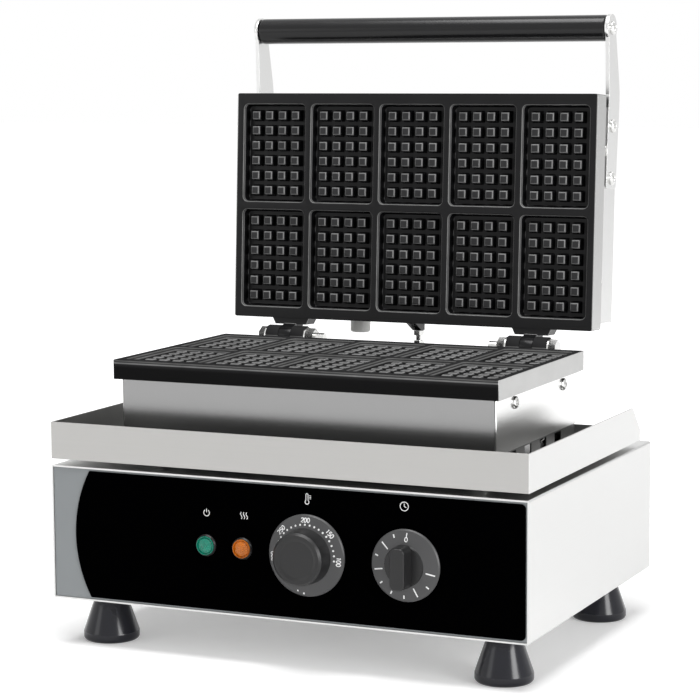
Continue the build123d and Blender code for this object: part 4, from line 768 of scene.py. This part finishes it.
@dataclass
class MouldFace:
    """The cooking face of a plate: ten moulds with studs, laid close over the casting.

    Each mould is a stack of rounded rectangles that follows the wall's profile, and a grid of studs
    fills its floor.
    """

    name: str
    body: str
    finish: Material
    middle: Place
    outward: Place
    up: Place
    half: Spot = (152.7, 89.6)
    lift: float = 0.08
    columns: int = 5
    pitch: Spot = (60.1, 85.0)
    mould: Spot = (55.0, 79.0)
    corner: float = 4.0
    depth: float = 9.4
    draft: float = 8.0
    edge_round: float = 1.1
    floor_round: float = 0.9
    studs: tuple[int, int] = (4, 6)
    stud_pitch: Spot = (11.65, 12.1)
    stud_base: float = 8.6
    stud_height: float = 7.6
    stud_draft: float = 9.0
    stud_round: float = 1.4
    stud_foot: float = 0.5
    thickness: float = 12.4
    bow_points: int = 6

    @staticmethod
    def slope(height: float, draft: float, top_round: float, foot_round: float) -> Pair:
        """Return distances from a drafted wall's top edge and depths below it; both ends are rounded."""
        bends = []
        for radius, steps in ((top_round, 4), (foot_round, 3)):
            turn = np.linspace(0, pi / 2 - radians(draft), steps)
            tangent = radius * tan(turn[-1] / 2)
            bends.append((radius * np.sin(turn) - tangent, radius * (1 - np.cos(turn))))
        (away, down), (foot_away, foot_down) = bends
        run = height * tan(radians(draft))
        return np.r_[away, (run - foot_away)[::-1]], np.r_[down, (height - foot_down)[::-1]]

    def stud_lines(self, axis: int) -> Pair:
        """Return the grid lines over a row of studs and the height of its profile on each."""
        run, down = self.slope(self.stud_height, self.stud_draft, self.stud_round, self.stud_foot)
        away = self.stud_base / 2 - self.stud_height * tan(radians(self.stud_draft)) + run
        height = self.stud_height - down
        count = self.studs[axis]
        side = np.r_[-away[::-1], away]
        centres = (np.arange(count) - (count - 1) / 2) * self.stud_pitch[axis]
        return np.add.outer(centres, side).ravel(), np.tile(np.r_[height[::-1], height], count)

    def ring(self, lines_x: Array, lines_y: Array, low: Spot, high: Spot, radius: float = 0.0) -> Array:
        """Return a rectangle with round corners, counter-clockwise from its right side.

        Its points lie on the studs' grid lines along the sides, and bow_points on each corner.
        """
        (left, front), (right, rear) = low, high
        sides = (
            (lines_y, right, right - radius, rear - radius),
            (lines_x[::-1], rear, left + radius, rear - radius),
            (lines_y[::-1], left, left + radius, front + radius),
            (lines_x, front, right - radius, front + radius),
        )
        parts = []
        for quarter, (along, level, x, y) in enumerate(sides):
            apart = np.full(len(along), level)
            side = np.stack([along, apart] if quarter % 2 else [apart, along], axis=1)
            turn = np.radians(90 * quarter) + np.linspace(0, pi / 2, self.bow_points)
            bow = np.c_[x + radius * np.cos(turn), y + radius * np.sin(turn)]
            parts += [side, bow]
        return np.vstack(parts)

    def cell(self, low: Spot, high: Spot) -> Pair:
        """Return one mould as (across, along, depth) points and quads, out to the box low..high."""
        (lines_x, rise_x), (lines_y, rise_y) = self.stud_lines(0), self.stud_lines(1)
        inward, down = self.slope(self.depth, self.draft, self.edge_round, self.floor_round)
        boxes = [(low, high)]
        for value in inward:
            a, b = (size / 2 - value for size in self.mould)
            boxes.append(((-a, -b), (a, b), self.corner - value))
        boxes.append(((lines_x[0], lines_y[0]), (lines_x[-1], lines_y[-1])))
        depths = np.r_[[0.0], down, [self.depth]]
        flat = np.stack([self.ring(lines_x, lines_y, *box) for box in boxes])
        wall = np.concatenate([flat, np.broadcast_to(depths[:, None, None], (*flat.shape[:2], 1))], axis=2)
        rise = np.minimum.outer(rise_y, rise_x)
        x, y = np.meshgrid(lines_x, lines_y)
        field = np.stack([x, y, self.depth - rise], axis=2)
        return join_parts([
            (wall.reshape(-1, 3), grid_faces(len(depths), flat.shape[1], wrap=True)[:, ::-1]),
            (field.reshape(-1, 3), grid_faces(len(lines_y), len(lines_x), wrap=False)),
        ])

    def cells(self) -> Pair:
        """Return all moulds, each reaching to its neighbours or to the face's edge."""
        parts = []
        for column in range(self.columns):
            x = (column - (self.columns - 1) / 2) * self.pitch[0]
            left = -self.half[0] - x if column == 0 else -self.pitch[0] / 2
            right = self.half[0] - x if column == self.columns - 1 else self.pitch[0] / 2
            for end in (-self.half[1], self.half[1]):
                y = copysign(self.pitch[1] / 2, end)
                low, high = sorted((-y, end - y))
                points, faces = self.cell((left, low), (right, high))
                parts.append((points + (x, y, 0.0), faces))
        return join_parts(parts)

    def build(self) -> Object:
        """Return the face as one closed piece: moulds merged, edge drawn down and back closed."""
        points, faces = self.cells()
        u, v, depth = points.T
        placed = seated_on(self.middle, self.outward, self.up)(u, v, self.lift - depth)
        mesh = bpy.data.meshes.new(self.name)
        mesh.from_pydata(placed.tolist(), [], faces.tolist())
        work = bmesh.new()
        work.from_mesh(mesh)
        bmesh.ops.remove_doubles(work, verts=work.verts, dist=0.00002)
        rim = [edge for edge in work.edges if edge.is_boundary]
        for edge in rim:
            edge.smooth = False
        grown = bmesh.ops.extrude_edge_only(work, edges=rim)["geom"]
        back = Vector(self.outward).normalized() * -self.thickness * MM
        bmesh.ops.translate(work, verts=[v for v in grown if isinstance(v, bmesh.types.BMVert)], vec=back)
        bmesh.ops.holes_fill(work, edges=[edge for edge in work.edges if edge.is_boundary])
        bmesh.ops.recalc_face_normals(work, faces=work.faces)
        work.to_mesh(mesh)
        work.free()
        piece = add_piece(mesh, self.finish, smooth=True)
        weighted = piece.modifiers.new("shade", "WEIGHTED_NORMAL")
        weighted.weight = 60
        weighted.keep_sharp = True
        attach(piece, self.body)
        return piece


@dataclass
class ScrewHeads:
    """Domed heads with a cross recess, on the seats of one node's screws."""

    name: str
    node: str
    body: str
    finish: Material
    radius: float
    height: float
    seats: list[tuple[Vector, Vector]]
    recess: float = 0.6
    arm: float = 0.34
    arm_length: float = 0.62
    middle: float = 0.01
    rings: int = 20
    around: int = 64

    def head(self) -> tuple[Array, ...]:
        """Return one head: a spherical cap with a tapered cross sunk into it, on a low rim."""
        radii = self.radius * np.r_[np.linspace(self.middle, 0.8, self.rings), [0.9, 0.97, 1.0]]
        u, v = disc_grid(radii, self.around)
        reach = np.hypot(u, v) / self.radius
        dome = self.height * (0.2 + 0.8 * np.sqrt(np.clip(1 - reach**2, 0, 1)))
        half = self.arm * self.radius / 2
        length = self.arm_length * self.radius
        bars = [np.maximum(np.abs(a) / half, np.abs(b) / length) - 1 for a, b in ((u, v), (v, u))]
        sunk = self.recess * self.height * np.clip(-np.minimum(*bars) * 4, 0, 1)
        return close_disc(u, v, dome - sunk, (self.radius, self.middle * self.radius, 0.0))

    def build(self) -> Object:
        """Return the heads of all the node's screws as one piece."""
        u, v, height, faces, caps = self.head()
        points, quads, rounds = [], [], []
        for index, (seat, outward) in enumerate(self.seats):
            tilt = Matrix.Rotation(radians(20 + 31 * index), 3, outward)
            place = seated_on(seat, outward, tilt @ Vector((0, 0, 1)))
            points.append(place(u, v, height).reshape(-1, 3))
            quads.append(faces + index * u.size)
            rounds.append(caps + index * u.size)
        whole = np.vstack(points), np.vstack(quads)
        piece = make_object(self.name, *whole, self.finish, smooth=True, caps=np.vstack(rounds))
        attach(piece, self.body)
        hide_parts(self.node)
        return piece


@dataclass
class Screws:
    """Where the iron's visible screws sit, and the heads that show."""

    finish: Material
    box_half_width: float = 149.2
    arm_thickness: float = 3.0

    def lid_point(self, x: float, l: float, t: float) -> Vector:
        """Return a point of the open lid: l up the plate from its hinge edge, t behind its face."""
        along, behind = map(Vector, LAYOUT.lid_axes())
        origin = Vector(LAYOUT.hinge) + along * LAYOUT.edge_above_hinge + behind * LAYOUT.face_behind_hinge
        return origin + along * l + behind * t + Vector((x, 0, 0))

    def build(self) -> list[Object]:
        """Return the pieces with the screw heads, on the left and on the right side."""
        box, arm = self.box_half_width, self.box_half_width + self.arm_thickness
        sets = (
            ("heater_box_screws", "base", 4.6, 2.8, box, ((35.8, 190.6), (-66.2, 190.6))),
            ("lid_cover_screws", "lid", 4.6, 2.8, box, ((36.3, 24.6), (138.3, 24.6))),
            ("arm_screws", "lid", 5.2, 3.2, arm, ((117.2, 41.0), (157.7, 41.0))),
            ("handle_screws", "lid", 5.2, 3.2, arm, ((232.8, 35.0),)),
        )
        pieces = []
        for node, body, radius, height, x, spots in sets:
            seats = []
            for spot, side in product(spots, (-1, 1)):
                point = self.lid_point(side * x, *spot) if body == "lid" else Vector((side * x, *spot))
                seats.append((point, Vector((side, 0, 0))))
            name = node.replace("screws", "screw_heads")
            pieces.append(ScrewHeads(name, node, body, self.finish, radius, height, seats).build())
        return pieces


# The finishes, by the nodes that wear them; no node wears that of the prints

FINISHES = {
    "housing_shell bottom_plate": BrushedSteel("housing_steel", (0.62, 0.62, 0.615), 0.36, streaks=0.2),
    # the tray's ends are painted lighter, as painted light; its inner faces darker, as painted shade and
    # painted reflection
    "drip_tray": BrushedSteel(
        "tray_steel", (0.4, 0.395, 0.385), 0.32, streaks=0.16, painted_light_end_x=188.0,
        hollow_shade=HollowShade(187.0, -140.6, 141.6, (0.34, 0.34, 0.335))),
    # the box's ends are painted far lighter than its front, as painted light
    "lower_heater_box pedestal lower_element_clamps upper_element_clamps wiring_sleeve": BrushedSteel(
        "box_steel", (0.27, 0.27, 0.27), 0.24, streaks=0.16, painted_light_end_x=149.2, painted_light_end_colour=(0.75, 0.75, 0.745)),
    "lid_cover": BrushedSteel("lid_steel", (0.64, 0.64, 0.635), 0.32, grain=Grain.ACROSS, streaks=0.2),
    "handle_arm_left handle_arm_right": BrushedSteel(
        "arm_steel", (0.67, 0.67, 0.665), 0.26, grain=Grain.UPRIGHT, streaks=0.15),
    "lower_heating_element upper_heating_element": BrushedSteel(
        "element_tube", (0.3, 0.26, 0.22), 0.5, grain=Grain.UPRIGHT),
    "foot_bolts foot_nuts base_screws tray_spacers tray_bolts tray_nuts box_bolts high_limit_cutout "
    "heater_box_screws hinge_bolts hinge_washers hinge_nuts stop_screw stop_nut lid_cover_screws "
    "arm_screws handle_rod handle_screws box_gland thermostat_shaft timer_shaft": Polished(
        "bright_steel", (0.62, 0.62, 0.61), 0.2),
    "thermostat_bulb capillary": Polished("copper", (0.75, 0.42, 0.28), 0.3),
    "front_panel": Moulded("panel_grey", (0.235, 0.25, 0.258), 0.45, skin=2200.0, depth=0.03, clouds=0.05),
    "control_overlay": Moulded(
        "overlay_film", (0.0004, 0.0004, 0.0005), 0.4, skin=2600.0, depth=0.01, clouds=0.04, specular=0.0),
    "foot_front_left foot_front_right foot_rear_left foot_rear_right": Moulded(
        "foot_rubber", (0.004, 0.0045, 0.009), 0.2, depth=0.04, specular=0.4),
    "handle_grip": Moulded("grip_black", (0.005, 0.005, 0.0055), 0.22, depth=0.04, specular=0.3),
    "thermostat_knob timer_knob": Moulded(
        "knob_grey", (0.06, 0.06, 0.0615), 0.36, depth=0.15, specular=0.35, front_y=-147.4,
        front_colour=(0.013, 0.013, 0.0135)),
    "cable_gland lamp_nuts": Moulded("gland_black", (0.02, 0.02, 0.02), 0.5),
    "lid_gland": Moulded("gland_pale", (0.82, 0.82, 0.8), 0.5),
    "power_lamp_body heat_lamp_body": Moulded("lamp_bezel", (0.008, 0.008, 0.008), 0.35, specular=0.3),
    "thermostat_body timer_body terminal_block": Moulded("switch_cream", (0.72, 0.68, 0.58), 0.5),
    "": Moulded("print_white", (0.8, 0.8, 0.8), 0.5, depth=0.0, clouds=0.02),
    # the lower plate's rim colour is partly painted highlight, its floor colour painted shade in the moulds
    "lower_plate": CoatedCasting(
        "lower_casting", (0.021, 0.021, 0.0215), (0.0, 0.0, 1.0), 211.8, stud=(0.055, 0.055, 0.055),
        rim=(0.2, 0.2, 0.198), floor=(0.01, 0.01, 0.0102), roughness=0.34, specular=0.0),
    "upper_plate": CoatedCasting("upper_casting", (0.007, 0.007, 0.0075), (0.0, -0.99839, 0.05669), -77.06),
    "power_lamp_lens": LampLens("lens_green", (0.003, 0.19, 0.125), 0.12),
    "heat_lamp_lens": LampLens("lens_orange", (0.46, 0.12, 0.003), 0.14),
    "lower_insulation upper_insulation": Fibre("blanket_white", (0.85, 0.84, 0.8)),
}


class Wardrobe:
    """The finishes built as materials, and the nodes dressed in them."""

    def __init__(self) -> None:
        """Build the materials once."""
        effects = Effects()
        self.materials = {finish.name: finish.build(effects) for finish in FINISHES.values()}

    def dress(self, nodes: dict[str, Object]) -> None:
        """Give every CAD node its finish."""
        for names, finish in FINISHES.items():
            for name in names.split():
                mesh = nodes[name].data
                mesh.materials.clear()
                mesh.materials.append(self.materials[finish.name])
                LOG.info("%s wears %s", name, finish.name)


@dataclass
class Edges:
    """Small roundings on sheets and castings, so that their edges catch light."""

    merge: float = 0.002
    angle: float = 30.0

    def soften(self, node: Object, width: float, segments: int = 2) -> None:
        """Round a CAD node's sharp edges with modifiers; its own mesh stays as it is."""
        weld = node.modifiers.new("weld", "WELD")
        weld.merge_threshold = self.merge * MM
        flat = node.modifiers.new("flat", "DECIMATE")
        flat.decimate_type = "DISSOLVE"
        flat.angle_limit = radians(0.5)
        bevel = node.modifiers.new("edge", "BEVEL")
        bevel.width = width * MM
        bevel.segments = segments
        bevel.limit_method = "ANGLE"
        bevel.angle_limit = radians(self.angle)
        bevel.harden_normals = True
        LOG.info("%s has its edges rounded by %.2f mm", node.name, width)


# Studio


@dataclass
class Studio:
    """The floor, the lamps, the sky and the camera.

    The floor's own light is glow, up to near, and edge beyond far; lamps and sky make up the rest.
    """

    camera_place: Place = (736.05, -1632.83, 434.73)
    azimuth: float = 24.52910188
    elevation: float = 7.03717971
    roll: float = -0.33030239
    focal: float = 2380.7377781
    image: float = 700.0
    sensor: float = 36.0
    floor_half: float = 12.0
    glow: float = 0.24
    edge: float = 0.74
    near: float = 400.0
    far: float = 1500.0
    fill: float = 0.34

    def camera(self) -> None:
        """Place the camera: turned from +Y towards -X by its azimuth, and down by its elevation."""
        data = bpy.data.cameras.new("camera")
        data.sensor_width = self.sensor
        data.sensor_fit = "HORIZONTAL"
        data.lens = self.focal / self.image * self.sensor
        data.clip_start, data.clip_end = 0.05, 50.0
        pose = Matrix.Translation(Vector(self.camera_place) * MM)
        for axis, angle in (("Z", self.azimuth), ("X", 90 - self.elevation), ("Z", self.roll)):
            pose @= Matrix.Rotation(radians(angle), 4, axis)
        camera = link("camera", data)
        camera.matrix_world = pose
        bpy.context.scene.camera = camera

    def lamp(self, name: str, place: Place, target: Place, size: Spot, watts: float) -> None:
        """Add a soft rectangular lamp that points at a target."""
        data = bpy.data.lights.new(name, "AREA")
        data.shape = "RECTANGLE"
        data.size, data.size_y = size
        data.energy = watts
        lamp = link(name, data)
        lamp.location = place
        aim = Vector(target) - Vector(place)
        lamp.rotation_euler = aim.to_track_quat("-Z", "Y").to_euler()

    @staticmethod
    def mirrored(tree: Tree) -> Socket:
        """Return 1 for rays from the camera, a mirror or glass, and 0 for others."""
        path = tree.add("LightPath").outputs
        bent = tree.math("MAXIMUM", path["Is Glossy Ray"], path["Is Transmission Ray"])
        return tree.math("MAXIMUM", path["Is Camera Ray"], bent)

    def sky(self) -> None:
        """Make the world white where it is seen or mirrored, and dimmer as a light."""
        world = bpy.data.worlds.new("studio")
        bpy.context.scene.world = world
        world.use_nodes = True
        tree = Tree(world.node_tree)
        world.node_tree.nodes.clear()
        strength = tree.add("MapRange", {"Value": self.mirrored(tree), "To Min": self.fill, "To Max": 1.0})
        back = tree.add("Background", {"Color": (1, 1, 1, 1), "Strength": strength.outputs[0]})
        tree.add("OutputWorld", {0: back.outputs[0]})

    def floor(self) -> None:
        """Lay a pale floor that reads white and keeps the shadow."""
        corners = np.array([(-1, -1, 0), (1, -1, 0), (1, 1, 0), (-1, 1, 0)]) * self.floor_half
        material, tree, shader = new_material("studio_floor")
        reach = tree.add("VectorMath", {0: tree.place()}, operation="LENGTH").outputs["Value"]
        away = tree.ramp(reach, self.near, self.far)
        rise = tree.math("MULTIPLY_ADD", away, self.edge - self.glow, self.glow)
        strength = tree.math("MULTIPLY", self.mirrored(tree), rise)
        tree.feed(shader, {"Base Color": (0.86, 0.86, 0.86, 1), "Roughness": 0.9, "Specular IOR Level": 0.1,
                           "Emission Color": (1, 1, 1, 1), "Emission Strength": strength})
        floor = make_object("studio_floor", corners, np.array([[0, 1, 2, 3]]), material)

    def build(self) -> None:
        """Set up the whole studio."""
        bpy.context.scene.view_settings.view_transform = "Standard"
        self.camera()
        self.sky()
        self.floor()
        self.lamp("overhead", (0.05, -0.35, 2.2), (0, 0, 0.1), (1.5, 1.2), 46.0)
        self.lamp("right_softbox", (2.2, -0.95, 0.7), (0, 0, 0.2), (0.9, 1.2), 34.0)
        self.lamp("rear_softbox", (0.5, 1.9, 2.1), (0, 0, 0.2), (1.2, 1.0), 5.0)
        self.lamp("left_softbox", (-1.7, -2.1, 0.9), (0, 0, 0.2), (0.9, 1.0), 3.5)


def main() -> None:
    """Load the frame, dress it and light it."""
    logging.basicConfig(level=logging.INFO, format="%(name)s: %(message)s")
    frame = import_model()
    nodes = frame["nodes"]
    wardrobe = Wardrobe()
    wardrobe.dress(nodes)
    materials = wardrobe.materials

    edges = Edges()
    for name in ("lower_plate", "upper_plate"):
        edges.soften(nodes[name], 0.6, 3)
    sheets = "drip_tray housing_shell lower_heater_box handle_arm_left handle_arm_right front_panel pedestal"
    for name in sheets.split():
        edges.soften(nodes[name], 0.3)

    along, behind = LAYOUT.lid_axes()
    middle = tuple(Vector(LAYOUT.lid_edge) + Vector(along) * 90.5)
    outward = tuple(-part for part in behind)
    lower, upper = materials["lower_casting"], materials["upper_casting"]
    moulds = (
        MouldFace("lower_mould_face", "base", lower, (0.0, -18.4, 211.8), (0.0, 0.0, 1.0), (0.0, 1.0, 0.0)),
        MouldFace("upper_mould_face", "lid", upper, middle, outward, along),
    )
    for face in moulds:
        piece = face.build()
        LOG.info("%s has %d faces", piece.name, len(piece.data.polygons))

    ink = materials["print_white"]
    PanelPrint(ink).build()
    thermostat = DialPrint("thermostat_scale", "thermostat_dial", LAYOUT.thermostat, ink, 29.5, 20.2)
    thermostat.build(thermostat_marks())
    DialPrint("timer_scale", "timer_dial", LAYOUT.timer, ink, 25.7, 15.0).build(timer_marks())
    PrismLens("power_lens", "power_lamp_lens", LAYOUT.power_lamp, materials["lens_green"]).build()
    PrismLens("heat_lens", "heat_lamp_lens", LAYOUT.heat_lamp, materials["lens_orange"]).build()
    for piece in Screws(materials["bright_steel"]).build():
        LOG.info("made %s", piece.name)

    Studio().build()


if __name__ == "__main__":
    main()
